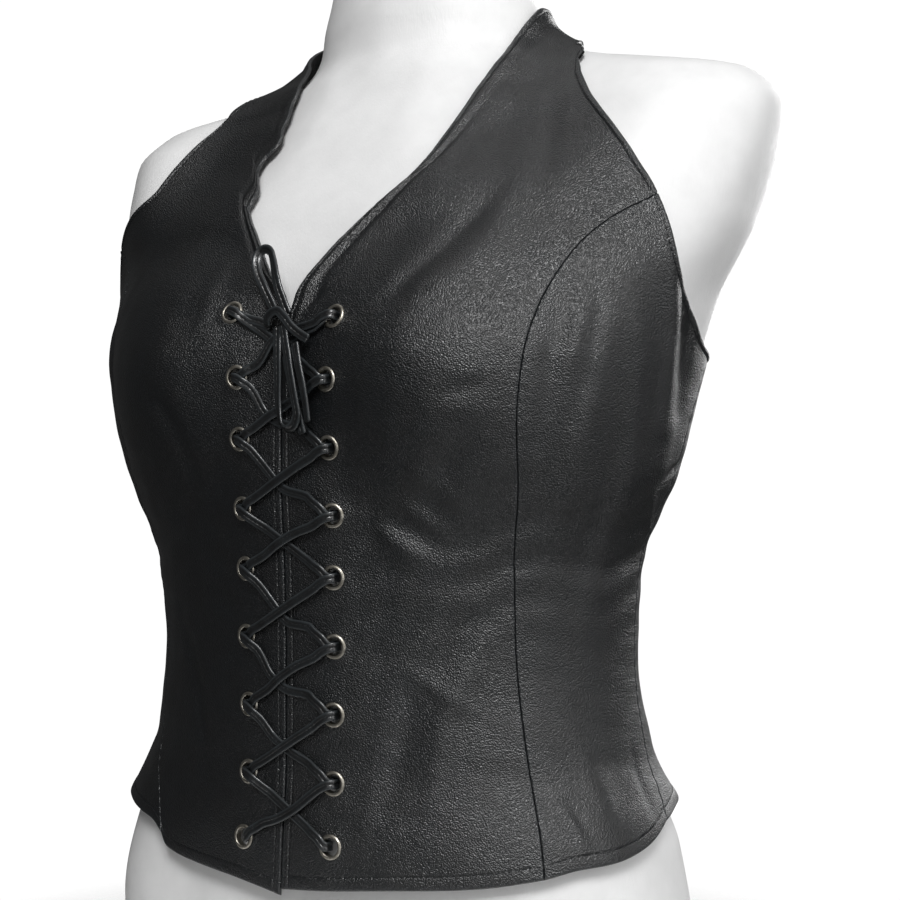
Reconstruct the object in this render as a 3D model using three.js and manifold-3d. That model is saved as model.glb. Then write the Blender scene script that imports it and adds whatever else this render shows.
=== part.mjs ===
import * as THREE from "three";
import { mergeVertices } from "three/addons/utils/BufferGeometryUtils.js";
import Module from "manifold-3d";

// A leather lace-up halter vest worn by a limbless dress form.
// Millimetres, +Z up. The front faces -Y and the wearer's left is +X.
// The origin is the middle of the form's flat base.
// A turn is an angle round the upright axis in degrees: 0 at the wearer's left, 90 at the front,
// -90 at the back.

const WALL = 1.8;
const SEAM_GAP = 0.4;
const FRONT_GAP = 1.0;
const EYELET = {
  hole: 5.6,
  bore: 4.85,
  barrel: 5.25,
  flange: 7.0,
  back: 6.3,
  stand: 0.6,
  dome: 0.8,
  sides: 10,
};
const LACE = { width: 5.4, thick: 1.7 };
const BODY_RADIUS = 140;
const HALF_CHEST = 112;
const LACED_REACH = 46;
const BODY_ROWS = 18;
const STRAP_ROWS = 14;
const MM_PER_DEGREE = (Math.PI * BODY_RADIUS) / 180;

// The torso's smooth envelope.
// height, half_width, front, back, centre_y, front_power, back_power
const FIGURE = [
  [0, 172, 104, 122, 0, 2.2, 2.2],
  [60, 184, 106, 126, 0, 2.2, 2.2],
  [120, 177, 104, 113, 0, 2.2, 2.2],
  [175, 154, 100, 90, 0, 2.2, 2.2],
  [230, 148, 100, 75, 0, 2.2, 2.2],
  [280, 151, 102, 75, 0, 2.3, 2.2],
  [335, 173, 105, 88, 0, 2.5, 2.2],
  [390, 188, 105, 102, 0, 2.7, 2.3],
  [430, 198, 104, 108, 5, 2.6, 2.3],
  [475, 216, 98, 104, 20, 2.3, 2.4],
  [515, 226, 84, 94, 29, 2.15, 2.5],
  [540, 229, 74, 84, 33, 2.1, 2.5],
  [558, 213, 66, 75, 36, 1.9, 2.4],
  [571, 160, 62, 68, 37, 1.75, 2.3],
  [580, 118, 60, 63, 38, 1.6, 2.2],
  [588, 97, 58, 59, 39, 1.6, 2.0],
  [598, 84, 57, 56, 39, 1.7, 2.0],
  [609, 77, 56, 54, 38, 1.8, 2.0],
  [640, 64, 52, 52, 36, 2.0, 2.0],
  [700, 60, 50, 54, 32, 2.0, 2.0],
];

// Swells of the envelope's front. The form stands a little fuller at the wearer's right.
// x, height, reach, rise
const SWELLS = [
  [92, 388, 88, 19],
  [-92, 388, 88, 19],
  [108, 552, 80, -17],
  [-108, 552, 80, -17],
  [-188, 525, 75, 13],
  [-150, 75, 75, 12],
  [-186, 452, 50, -7],
];

// A hollow of the form alone, so that the laced edges stand clear of it.
const HOLLOW = { height: 408, reach: 84, depth: 9 };

// How far the vest's inner face stands off the envelope, and how much more at the laced edges.
// height, side, front, back, laced_edge
const EASE = [
  [80, 9, 8, 13, 1],
  [120, 8, 7, 11, 1.5],
  [175, 6, 7, 8, 1.5],
  [230, 5, 6.5, 5, 2],
  [280, 5, 5.5, 4, 2.5],
  [335, 4.5, 2.6, 3.5, 5.5],
  [390, 3, 1.4, 3, 6.5],
  [430, 3, 2, 3, 4.5],
  [480, 3.2, 3, 2.5, 0.5],
  [545, 3.4, 3, 2.2, 0],
  [575, 2.9, 2.2, 2.4, 0],
  [612, 2.9, 2.2, 2.4, 0],
  [700, 2, 2, 2, 0],
];

// Soft folds pressed into the leather, each a ridge or a groove along a slanting line.
// top_turn, top_height, low_turn, low_height, half_width, rise
const FOLDS = [
  [20, 452, 24.5, 250, 2.6, 2.2],
  [13, 430, 17, 240, 3, -1.8],
  [4, 420, 3, 290, 3.2, 2.2],
  [160, 452, 156, 250, 2.6, 2.2],
  [176, 420, 177, 290, 3.2, 2.2],
  [62, 320, 44, 262, 4.5, 1.2],
  [56, 236, 36, 200, 4, 1.0],
  [121, 470, 116, 380, 4, 1.2],
  [16, 205, 13, 128, 3.4, 2.0],
  [163, 612, 163, 562, 12, 3.2],
];

// Edges of the pieces, from the bottom up or from the front round. Those of the right are mirrored.
// turn, height
const FRONT_EDGE = [[90, 102], [90, 200], [90, 310], [90, 415]];
const FRONT_EDGE_RIGHT = [[90, 98.5], [90, 200], [90, 310], [90, 415]];
const NECK_LEFT = [
  [90, 415], [89.2, 419.5], [88.6, 423.7], [87.9, 430.2], [86.2, 436], [82.6, 445.8], [78.1, 458.3],
  [73.2, 469.6], [67.8, 480.2], [63.3, 488.2], [58.8, 496.1], [55.1, 507], [51.7, 520.7],
  [47.8, 535.7], [43.1, 551.9], [36.9, 567.1], [28.3, 580.1], [17.2, 595.3], [8.9, 604.3],
  [1.3, 609.8], [-30, 613], [-60, 613], [-89.7, 611],
];
const NECK_RIGHT = [
  [90, 415], [89.1, 426.8], [81.1, 441.1], [72.4, 458.4], [66.6, 470.5], [61.6, 481.1],
  [59.2, 487.6], [59.3, 495.5], [55.6, 505.4], [51.8, 514], [51.2, 520.7], [53.6, 526.5],
  [54.1, 531.7], [50.7, 541.1], [49.3, 547.9], [45.6, 558], [43.9, 566.4], [39, 574.3],
  [22, 593], [-8, 611], [-45, 613], [-89.7, 611],
];
const PRINCESS = [
  [26.5, 118.5], [26.3, 160], [27.2, 192], [28.2, 225], [29.3, 267], [30.9, 320.7], [31.4, 361.3],
  [31, 390.7], [29.5, 420.6], [26.3, 446.6], [22, 464.3], [16.3, 478.9],
];
const PRINCESS_RIGHT = [
  [42, 116.5], [40.5, 126], [37.9, 139.5], [33.6, 155.3], [31.4, 172], [30.5, 196], [30.6, 223],
  [28.9, 248], [26, 264], [25.2, 300], [26.5, 345], [27.5, 385], [27, 420], [25, 446.6],
  [21.5, 464.3], [16.3, 478.9],
];
const ARMHOLE = [
  [16.3, 478.9], [17, 485], [18.2, 495], [19.3, 507.2], [20.5, 519.4], [21.9, 531.9],
  [22.8, 543.8], [22.1, 556.8], [19.7, 567.2], [10.9, 577.7], [5.5, 582.9], [-10, 586.5],
  [-35, 585], [-60, 580], [-89.7, 577],
];
const ARMHOLE_RIGHT = [
  [16.3, 478.9], [20, 495], [23, 509.8], [22.8, 526.8], [22.6, 542.8], [20.5, 557.6],
  [19.1, 563.4], [13, 573], [4, 582], [-10, 586.5], [-35, 585], [-60, 580], [-89.7, 577],
];
const UNDERARM = [[16.3, 478.9], [13.8, 459.4], [11.1, 444.1], [4.6, 423.6], [-3.7, 404], [-9, 400]];
const SIDE_SEAM = [
  [0, 137.3], [-3, 157], [-4, 200], [-4, 250], [-3.5, 300], [-4.5, 345], [-7, 380], [-9, 400],
];
const HEM_FRONT = [[90, 102], [75, 104.5], [58.5, 108.4], [37, 113.6], [26.5, 118.5]];
const HEM_FRONT_RIGHT = [
  [90, 98.5], [82, 101.1], [71.3, 103.8], [62, 105.3], [49, 108], [44.5, 110], [42, 116.5],
];
const HEM_SIDE = [[26.5, 118.5], [20.7, 122.5], [14.9, 124], [8, 128.5], [0, 137.3]];
const HEM_SIDE_RIGHT = [
  [42, 116.5], [37.2, 122.2], [32, 123.6], [26.2, 125.5], [17, 128.5], [8, 132.5], [0, 137.3],
];
const HEM_BACK = [
  [0, 137.3], [-9, 141.4], [-27, 140], [-55, 134], [-90, 129], [-125, 134], [-153, 140],
  [-171, 141.4], [-180, 137.3],
];
const BACK_TOP = [[-9, 400], [-30, 396], [-60, 392], [-90, 390], [-120, 392], [-150, 396], [-171, 400]];

// Eyelet centres down the two laced edges.
// left_x, left_height, right_x, right_height
const EYELETS = [
  [37.3, 414.9, -38.7, 420.7],
  [36.1, 383.2, -31, 386],
  [34.2, 347.3, -30, 352.5],
  [32.8, 310, -28, 313],
  [31.5, 276, -27.5, 279],
  [31, 238, -28, 240.5],
  [30.5, 200.5, -26, 202],
  [31, 162.5, -26, 163.5],
  [31.5, 128.5, -27, 127],
];

// How a front strand sags between its upper and lower eyelet.
// sag of the strand from the left edge's eyelet, its place along, the same for the right edge's
const SAGS = [
  [6.5, 0.75, 0, 0.5],
  [0, 0.5, -8.5, 0.3],
  [0, 0.5, -6, 0.6],
  [2, 0.5, 0, 0.5],
  [0, 0.5, -7, 0.6],
  [2, 0.5, -9, 0.35],
  [0, 0.5, -4, 0.25],
  [-3, 0.5, 0, 0.5],
];

// How high a front strand lies between two eyelets, for the one that crosses over and the one under it.
// place along, lift
const OVER_LEVELS = [[0, 3.9], [0.35, 3.5], [0.7, 3.4], [1, 2.6]];
const UNDER_LEVELS = [[0, 3.0], [0.25, 1.1], [0.65, 1.1], [1, 1.5]];

// A smooth value of a table's column at a height, without overshoot.
function pick(table, column, at) {
  const n = table.length;
  const slope = [];
  for (let i = 0; i < n - 1; i++)
    slope.push((table[i + 1][column] - table[i][column]) / (table[i + 1][0] - table[i][0]));
  const tangent = (i) => {
    if (i === 0) return slope[0];
    if (i === n - 1) return slope[n - 2];
    if (slope[i - 1] * slope[i] <= 0) return 0;
    const a = table[i][0] - table[i - 1][0];
    const b = table[i + 1][0] - table[i][0];
    return (3 * (a + b)) / ((2 * b + a) / slope[i - 1] + (b + 2 * a) / slope[i]);
  };
  const x = Math.min(Math.max(at, table[0][0]), table[n - 1][0]);
  let i = 0;
  while (i < n - 2 && x > table[i + 1][0]) i++;
  const h = table[i + 1][0] - table[i][0];
  const t = (x - table[i][0]) / h;
  const p = table[i][column];
  const q = table[i + 1][column];
  return (
    (1 + 2 * t) * (1 - t) ** 2 * p +
    t * (1 - t) ** 2 * h * tangent(i) +
    t * t * (3 - 2 * t) * q +
    t * t * (t - 1) * h * tangent(i + 1)
  );
}

const radians = (turn) => (turn * Math.PI) / 180;

// A point of the torso's envelope.
function envelope(turn, z) {
  const c = Math.cos(radians(turn));
  const s = Math.sin(radians(turn));
  const front = s > 0;
  const depth = pick(FIGURE, front ? 2 : 3, z);
  const power = pick(FIGURE, front ? 5 : 6, z);
  const r = (Math.abs(c / pick(FIGURE, 1, z)) ** power + Math.abs(s / depth) ** power) ** (-1 / power);
  const x = r * c;
  let y = pick(FIGURE, 4, z) - r * s;
  if (front)
    for (const [sx, sz, reach, rise] of SWELLS) {
      const q = Math.min(1, ((x - sx) ** 2 + (z - sz) ** 2) / reach ** 2);
      y -= rise * (1 - q) ** 2 * Math.min(1, 3 * s);
    }
  return new THREE.Vector3(x, y, z);
}

// The outward direction of a surface at a turn and a height.
function facing(surface, turn, z) {
  const round = surface(turn + 1, z).sub(surface(turn - 1, z));
  const up = surface(turn, z + 1.5).sub(surface(turn, z - 1.5));
  const out = round.cross(up).normalize();
  return out.x * Math.cos(radians(turn)) - out.y * Math.sin(radians(turn)) < 0 ? out.negate() : out;
}

// How far the leather's inner face stands off the envelope.
function ease(turn, z) {
  const s = Math.sin(radians(turn));
  const across = Math.cos(radians(turn)) * HALF_CHEST;
  let e = pick(EASE, 1, z) * (1 - s * s) + pick(EASE, s > 0 ? 2 : 3, z) * s * s;
  if (s > 0) e += pick(EASE, 4, z) * Math.exp(-((across / LACED_REACH) ** 4));
  for (const [topTurn, top, lowTurn, low, half, rise] of FOLDS) {
    const t = (z - low) / (top - low);
    if (t <= 0 || t >= 1) continue;
    const q = (turn - lowTurn - (topTurn - lowTurn) * t) / half;
    e += rise * Math.sin(Math.PI * t) ** 2 * Math.exp(-q * q);
  }
  return e;
}

// A point of the leather, off millimetres out from its inner face.
function worn(turn, z, off) {
  return envelope(turn, z).addScaledVector(facing(envelope, turn, z), ease(turn, z) + off);
}

// The turn of the envelope's front point at a distance across.
function turnAt(x, z) {
  const power = pick(FIGURE, 5, z);
  const y = pick(FIGURE, 2, z) * (1 - (Math.abs(x) / pick(FIGURE, 1, z)) ** power) ** (1 / power);
  return (Math.atan2(y, x) * 180) / Math.PI;
}

const outerFace = (turn, z) => worn(turn, z, WALL);

// A point a height above the vest's front, and the outward direction there.
function over(x, z, height) {
  const turn = turnAt(x, z);
  const out = facing(outerFace, turn, z);
  return { point: outerFace(turn, z).addScaledVector(out, height), out };
}

// An edge as a function of t from 0 to 1, through its points in even steps of length.
function edge(points, mirror = false) {
  const rows = [];
  let run = 0;
  points.forEach(([turn, z], i) => {
    if (i) run += Math.hypot((turn - points[i - 1][0]) * MM_PER_DEGREE, z - points[i - 1][1]);
    rows.push([run, mirror ? 180 - turn : turn, z]);
  });
  return (t) => [pick(rows, 1, t * run), pick(rows, 2, t * run)];
}

// Gives a mesh its shape: every vertex of a unit box goes where place sends it.
function shaped(cols, rows, layers, place) {
  const box = new THREE.BoxGeometry(1, 1, 1, cols, rows, layers);
  box.deleteAttribute("normal");
  box.deleteAttribute("uv");
  const at = box.getAttribute("position");
  for (let i = 0; i < at.count; i++) {
    const p = place(at.getX(i) + 0.5, at.getY(i) + 0.5, at.getZ(i) + 0.5);
    at.setXYZ(i, p.x, p.y, p.z);
  }
  return outward(mergeVertices(box, 1e-3));
}

// The same geometry with its faces pointing out.
function outward(geometry) {
  const at = geometry.getAttribute("position");
  const index = geometry.index.array;
  const [a, b, c] = [new THREE.Vector3(), new THREE.Vector3(), new THREE.Vector3()];
  let volume = 0;
  for (let i = 0; i < index.length; i += 3) {
    a.fromBufferAttribute(at, index[i]);
    b.fromBufferAttribute(at, index[i + 1]);
    c.fromBufferAttribute(at, index[i + 2]);
    volume += a.dot(b.cross(c));
  }
  if (volume < 0)
    for (let i = 0; i < index.length; i += 3) [index[i + 1], index[i + 2]] = [index[i + 2], index[i + 1]];
  return geometry;
}

// A piece of leather between four edges: inner and outer run up, bottom and top run across.
function piece({ inner, outer, bottom, top, cols, rows, row = (v) => v, trim = [1, 1] }) {
  const corner = [inner(0), outer(0), inner(1), outer(1)];
  return shaped(cols, rows, 1, (u, vRow, w) => {
    const v = row(vRow);
    const [l, r, b, t] = [inner(v), outer(v), bottom(u), top(u)];
    const at = [0, 1].map(
      (k) =>
        (1 - u) * l[k] + u * r[k] + (1 - v) * b[k] + v * t[k] -
        (1 - v) * ((1 - u) * corner[0][k] + u * corner[1][k]) -
        v * ((1 - u) * corner[2][k] + u * corner[3][k]),
    );
    const toward = Math.sign(corner[1][0] - corner[0][0]);
    const shift = (1 - u) * trim[0] - u * trim[1];
    return worn(at[0] + (toward * shift) / MM_PER_DEGREE, at[1], w * WALL);
  });
}

// Two edges end to end, the first up to the middle of the run.
const joined = (lower, upper) => (t) => (t <= 0.5 ? lower(2 * t) : upper(2 * t - 1));
const line = (a, b) => (t) => [a[0] + (b[0] - a[0]) * t, a[1] + (b[1] - a[1]) * t];

// Rows of the mesh: closer together up the strap than up the body.
const rowOf = (v) => {
  const k = v * (BODY_ROWS + STRAP_ROWS);
  return k <= BODY_ROWS ? k / BODY_ROWS / 2 : 0.5 + (k - BODY_ROWS) / STRAP_ROWS / 2;
};

// Laced edge to princess seam, and up as a strap to the middle of the neck's back.
function frontPiece(mirror) {
  const laced = edge(mirror ? FRONT_EDGE_RIGHT : FRONT_EDGE, mirror);
  const neck = edge(mirror ? NECK_RIGHT : NECK_LEFT, mirror);
  const inner = joined(laced, neck);
  const outer = joined(
    edge(mirror ? PRINCESS_RIGHT : PRINCESS, mirror),
    edge(mirror ? ARMHOLE_RIGHT : ARMHOLE, mirror),
  );
  return piece({
    inner,
    outer,
    bottom: edge(mirror ? HEM_FRONT_RIGHT : HEM_FRONT, mirror),
    top: line(inner(1), outer(1)),
    cols: mirror ? 14 : 13,
    rows: BODY_ROWS + STRAP_ROWS,
    row: rowOf,
    trim: [FRONT_GAP / 2, SEAM_GAP / 2],
  });
}

// Princess seam to side seam.
const sidePiece = (mirror) =>
  piece({
    inner: edge(mirror ? PRINCESS_RIGHT : PRINCESS, mirror),
    outer: edge(SIDE_SEAM, mirror),
    bottom: edge(mirror ? HEM_SIDE_RIGHT : HEM_SIDE, mirror),
    top: edge(UNDERARM, mirror),
    cols: 7,
    rows: BODY_ROWS,
    trim: [SEAM_GAP / 2, SEAM_GAP / 2],
  });

// Side seam to side seam across the back.
function backPiece() {
  const left = edge(SIDE_SEAM);
  const right = (t) => {
    const [turn, z] = left(t);
    return [-180 - turn, z];
  };
  return piece({
    inner: left,
    outer: right,
    bottom: edge(HEM_BACK),
    top: edge(BACK_TOP),
    cols: 14,
    rows: BODY_ROWS,
    trim: [SEAM_GAP / 2, SEAM_GAP / 2],
  });
}

// The dress form: the envelope with the hollow, closed by a flat base and a rounded neck cap.
// height, inset
const FORM_RINGS = [
  [0, 5], [3, 1.2], [9, 0], [35, 0], [65, 0], [95, 0], [125, 0], [150, 0], [175, 0], [200, 0],
  [225, 0], [250, 0], [278, 0], [306, 0], [335, 0], [362, 0], [390, 0], [415, 0], [440, 0],
  [465, 0.5], [490, 2.7], [512, 1.5], [530, 1.8], [542, 2.2], [551, 2.1], [560, 1.5], [569, 1],
  [579, 1], [590, 1], [602, 1], [616, 1], [640, 1], [670, 1], [690, 2], [697, 6], [700, 14],
];
function dressForm() {
  const cols = 32;
  const rows = FORM_RINGS.length - 1;
  const tube = new THREE.CylinderGeometry(1, 1, 1, cols, rows);
  tube.deleteAttribute("normal");
  tube.deleteAttribute("uv");
  const at = tube.getAttribute("position");
  for (let i = 0; i < at.count; i++) {
    const [z, inset] = FORM_RINGS[Math.round((at.getY(i) + 0.5) * rows)];
    const size = Math.hypot(at.getX(i), at.getZ(i));
    const turn = (Math.atan2(at.getZ(i), at.getX(i)) * 180) / Math.PI;
    const p = envelope(turn, z);
    const axis = new THREE.Vector3(0, pick(FIGURE, 4, z), z);
    if (p.y < axis.y) {
      const q = Math.min(1, (p.x ** 2 + (z - HOLLOW.height) ** 2) / HOLLOW.reach ** 2);
      p.y += HOLLOW.depth * (1 - q) ** 2;
    }
    const ray = p.clone().sub(axis);
    p.addScaledVector(ray, -inset / ray.length());
    if (size < 0.5) p.copy(axis);
    at.setXYZ(i, p.x, p.y, p.z);
  }
  return outward(mergeVertices(tube, 1e-3));
}

const wasm = await Module();
wasm.setup();

const solid = (geometry) =>
  new wasm.Manifold(
    new wasm.Mesh({
      numProp: 3,
      vertProperties: geometry.getAttribute("position").array,
      triVerts: new Uint32Array(geometry.index.array),
    }),
  );

function fromSolid(made) {
  const { vertProperties, triVerts } = made.getMesh();
  const geometry = new THREE.BufferGeometry();
  geometry.setAttribute("position", new THREE.BufferAttribute(vertProperties, 3));
  geometry.setIndex(new THREE.BufferAttribute(triVerts, 1));
  return geometry;
}

const upward = new THREE.Vector3(0, 1, 0);

// The leather with a round hole punched at each eyelet, and without the tiny faces that this leaves.
function punched(geometry, places) {
  let made = solid(geometry);
  for (const [x, z] of places) {
    const { point, out } = over(x, z, -WALL / 2);
    const punch = new THREE.CylinderGeometry(EYELET.hole, EYELET.hole, 8, 12);
    punch.deleteAttribute("normal");
    punch.deleteAttribute("uv");
    punch.applyQuaternion(new THREE.Quaternion().setFromUnitVectors(upward, out));
    punch.translate(point.x, point.y, point.z);
    made = made.subtract(solid(mergeVertices(punch, 1e-3)));
  }
  return fromSolid(made.simplify(0.04));
}

// An eyelet: a domed flange in front, a barrel through the hole and a small flange behind.
function eyeletShape() {
  const { bore, barrel, flange, back, stand, dome } = EYELET;
  const under = -WALL - stand;
  const profile = [
    [bore, under - 0.5],
    [back, under - 0.5],
    [barrel, under],
    [barrel, stand],
    [flange, stand],
    [(bore + flange) / 2 + 0.5, stand + dome],
    [bore, stand + dome * 0.7],
    [bore, under - 0.5],
  ];
  return new THREE.LatheGeometry(profile.map(([r, y]) => new THREE.Vector2(r, y)), EYELET.sides);
}

// A flat cord through path points, each x, height, lift over the vest, slant of its width in the vest's
// face and lean of its width out of that face.
function ribbon(points, rings) {
  const run = [0];
  for (let i = 1; i < points.length; i++) {
    const step = [0, 1, 2].map((k) => points[i][k] - points[i - 1][k]);
    run.push(run[i - 1] + Math.hypot(...step));
  }
  const whole = run[run.length - 1];
  const at = (s) => {
    let i = 0;
    while (i < run.length - 2 && s > run[i + 1]) i++;
    const t = (s - run[i]) / (run[i + 1] - run[i]);
    const a = points[Math.max(0, i - 1)];
    const b = points[i];
    const c = points[i + 1];
    const d = points[Math.min(points.length - 1, i + 2)];
    return [0, 1, 2, 3, 4].map(
      (k) =>
        b[k] +
        0.5 * (c[k] - a[k]) * t +
        0.5 * (2 * a[k] - 5 * b[k] + 4 * c[k] - d[k]) * t ** 2 +
        0.5 * (3 * b[k] - a[k] - 3 * c[k] + d[k]) * t ** 3,
    );
  };
  const stops = rings ? Array.from({ length: rings + 1 }, (_, i) => (whole * i) / rings) : run;
  const centres = stops.map((s) => {
    const [x, z, lift, slant, lean] = at(Math.min(s, whole));
    const { point, out } = over(x, z, lift);
    return { point, out, slant, lean };
  });
  return shaped(2, 1, stops.length - 1, (u, v, w) => {
    const i = Math.round(w * (stops.length - 1));
    const { point, out, slant, lean } = centres[i];
    const before = centres[Math.max(0, i - 1)].point;
    const after = centres[Math.min(centres.length - 1, i + 1)].point;
    const along = after.clone().sub(before).normalize();
    const up = new THREE.Vector3(0, 0, 1).addScaledVector(out, -out.z).normalize();
    const side = up.clone().cross(out).normalize();
    const wide = up.multiplyScalar(Math.cos(slant)).addScaledVector(side, Math.sin(slant));
    wide.multiplyScalar(Math.cos(lean)).addScaledVector(out, Math.sin(lean));
    wide.addScaledVector(along, -wide.dot(along)).normalize();
    const thick = along.clone().cross(wide);
    const across = (u - 0.5) * LACE.width;
    const through = (v - 0.5) * LACE.thick * (u === 0.5 ? 1 : 0.8);
    return point.clone().addScaledVector(wide, across).addScaledVector(thick, through);
  });
}

// One run of the lace, from the knot down across the front to the bar behind the last eyelets.
// Every strand lies on the front: it dips into the near half of an eyelet, turns behind, and comes
// up in the far half.
function laceRun(startSide, start, rise) {
  const points = start.map(([x, z, lift]) => [x, z, lift, -startSide * Math.atan(rise), 0]);
  let left = startSide > 0;
  for (let k = 0; k < 9; k++) {
    const [x, z] = left ? EYELETS[k].slice(0, 2) : EYELETS[k].slice(2);
    const side = Math.sign(x);
    const arrive = k ? slantTo(k - 1, !left) : -side * Math.atan(rise);
    const last = k === 8;
    const put = (off, dz, lift, slant) => points.push([x + side * off, z + dz, lift, slant, 0]);
    const drop = k ? Math.tan(Math.abs(arrive)) : -rise;
    put(-11, 11 * drop, 2.5, arrive);
    put(-6.6, 6.6 * drop, 2.95, arrive * 0.8);
    put(-2.9, 0.6 * drop, 2.3, arrive * 0.2);
    put(-1.5, 0, 0, 0);
    put(-1.35, 0, -3.2, 0);
    if (last) {
      put(-2.2, 0, -4.5, 0);
      put(-5, 0, -4.9, 0);
      put(-14, 0, -4.5, 0);
      points.push([side * 0.5, 127.5, -4.3, 0, 0]);
      break;
    }
    const leave = slantTo(k, left);
    const fall = Math.tan(Math.abs(leave));
    put(-0.75, 0, -4.55, 0);
    put(0.75, 0, -4.55, 0);
    put(1.35, 0, -3.2, 0);
    put(1.4, 0, 0.6, 0);
    put(1.15, 0, 2.9, 0);
    put(-0.9, -0.6 * fall, 4.35, leave * 0.3);
    put(-5.2, -4.2 * fall, 4.7, leave * 0.8);
    const next = left ? EYELETS[k + 1].slice(2) : EYELETS[k + 1].slice(0, 2);
    const from = [x - side * 10, z - 10 * fall];
    const to = [next[0] - Math.sign(next[0]) * 15, next[1] + 15 * fall];
    const [sag, place] = left ? SAGS[k].slice(0, 2) : SAGS[k].slice(2);
    for (const [t, lift] of left ? OVER_LEVELS : UNDER_LEVELS) {
      const bulge = t < place ? t / place : (1 - t) / (1 - place);
      points.push([
        from[0] + (to[0] - from[0]) * t,
        from[1] + (to[1] - from[1]) * t + sag * Math.sin((Math.PI / 2) * bulge),
        lift,
        leave,
        0,
      ]);
    }
    left = !left;
  }
  return ribbon(points);
}

// The slant that a front strand's width has below eyelet k.
function slantTo(k, left) {
  const [a, b] = left
    ? [EYELETS[k].slice(0, 2), EYELETS[k + 1].slice(2)]
    : [EYELETS[k].slice(2), EYELETS[k + 1].slice(0, 2)];
  return Math.atan(-(b[1] - a[1]) / (b[0] - a[0]));
}

// The lace's start on each side, from under the knot toward the first eyelet, and its rise to there.
// x, height, lift
const START_LEFT = [[7, 403.6, 2.6], [13, 405.4, 2.6]];
const START_RIGHT = [[-8.5, 411.4, 1.5], [-16, 413.8, 1.8]];
const RISE_LEFT = 0.55;
const RISE_RIGHT = 0.4;

// The bow's pieces over the first eyelets.
// x, height, lift, lean
const KNOT = [
  [-8.5, 411.5, 4.8, 0], [-6.2, 415.6, 7.6, 0.2], [0.8, 417.5, 9.4, 0.1], [6.3, 414, 9.4, 0],
  [13.1, 409, 8.6, 0], [20.7, 404.7, 6.6, 0], [26.5, 402.3, 5.6, 0],
];
const LOOP_UP = [
  [-1.3, 414.9, 5.6, 0], [-5.8, 422, 6.2, 0], [-11.5, 430.6, 8, 0.1], [-17.1, 437.2, 9.5, 0.3],
  [-19.9, 443, 11, 0.5], [-18.8, 447, 12, 0.7], [-15, 448.4, 12.5, 0.7], [-11, 446.8, 12, 0.6],
  [-8, 442.2, 10.5, 0.4], [-4.6, 436, 9.5, 0.2], [-0.5, 428.4, 8, 0], [3.2, 421.8, 7, 0],
  [6.2, 416.6, 5.8, 0],
];
const LOOP_DOWN = [
  [-0.3, 410.4, 5.1, 0], [1.3, 401, 5.6, 0], [2.5, 388.8, 6, 0.1], [2.7, 375.1, 6.2, 0.2],
  [4.1, 365.2, 6.8, 0.5], [6.7, 358.8, 7.4, 0.9], [10.5, 356.7, 7.8, 0.9], [16.5, 358.9, 8.3, 0.4],
  [20.6, 364.5, 8.3, 0.1], [20, 371.5, 8.2, 0], [17.2, 383.1, 8, 0], [13.4, 394.5, 7.8, 0],
  [8, 403.7, 7.4, 0], [4.2, 410.4, 7, 0],
];
const END_LONG = [
  [17.5, 401, 6.8, 0], [21.3, 392.5, 7, 0], [25, 382.5, 7.3, 0.1], [27, 371.5, 7.2, 0.2],
  [27.4, 361.5, 7, 0.3],
];
const END_SHORT = [
  [9.2, 395.6, 5.6, 0], [13.6, 384, 5.75, 0], [17, 371.5, 5.75, 0], [19.6, 361.5, 5.5, 0],
  [20.8, 354.5, 5.2, 0],
];

// The points of a piece of the bow, with the slant that lays its width across its own direction.
function lying(table) {
  let before = null;
  return table.map(([x, z, lift, lean], i) => {
    const a = table[Math.max(0, i - 1)];
    const b = table[Math.min(table.length - 1, i + 1)];
    let slant = -Math.atan2(b[1] - a[1], b[0] - a[0]);
    if (before !== null) slant += 2 * Math.PI * Math.round((before - slant) / (2 * Math.PI));
    before = slant;
    return [x, z, lift, slant, lean];
  });
}

const leather = new THREE.MeshStandardMaterial({ color: "#1b1e20", roughness: 0.48, metalness: 0 });
const cord = new THREE.MeshStandardMaterial({ color: "#202326", roughness: 0.5, metalness: 0 });
const metal = new THREE.MeshStandardMaterial({ color: "#a39c8c", roughness: 0.3, metalness: 1 });
const white = new THREE.MeshStandardMaterial({ color: "#e4e4e2", roughness: 0.6, metalness: 0 });

const object = new THREE.Group();
function add(name, geometry, material) {
  const mesh = new THREE.Mesh(geometry, material);
  mesh.name = name;
  object.add(mesh);
  return mesh;
}

add("dress_form", dressForm(), white);
add("front_left", punched(frontPiece(false), EYELETS.map((e) => e.slice(0, 2))), leather);
add("front_right", punched(frontPiece(true), EYELETS.map((e) => e.slice(2))), leather);
add("side_left", sidePiece(false), leather);
add("side_right", sidePiece(true), leather);
add("back", backPiece(), leather);

for (const [side, from] of [["left", 0], ["right", 2]])
  EYELETS.forEach((row, i) => {
    const { point, out } = over(row[from], row[from + 1], 0);
    const ring = add(`eyelet_${side}_${i + 1}`, eyeletShape(), metal);
    ring.position.copy(point);
    ring.quaternion.setFromUnitVectors(upward, out);
  });

add("lace_a", laceRun(1, START_LEFT, RISE_LEFT), cord);
add("lace_b", laceRun(-1, START_RIGHT, RISE_RIGHT), cord);
add("bow_knot", ribbon(lying(KNOT), 12), cord);
add("bow_loop_up", ribbon(lying(LOOP_UP), 28), cord);
add("bow_loop_down", ribbon(lying(LOOP_DOWN), 28), cord);
add("bow_end_long", ribbon(lying(END_LONG), 10), cord);
add("bow_end_short", ribbon(lying(END_SHORT), 10), cord);

export default object;
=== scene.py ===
"""Leather lace-up halter vest on a white dress form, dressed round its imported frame.

Metres, +Z up. The laced front faces -Y and the wearer's left is +X. The tables are in millimetres.
A turn is an angle round the upright axis in degrees: 0 at the wearer's left, 90 at the front and
-90 at the back.
"""

import math

import bpy
import numpy as np
from mathutils import Matrix, Vector


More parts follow.
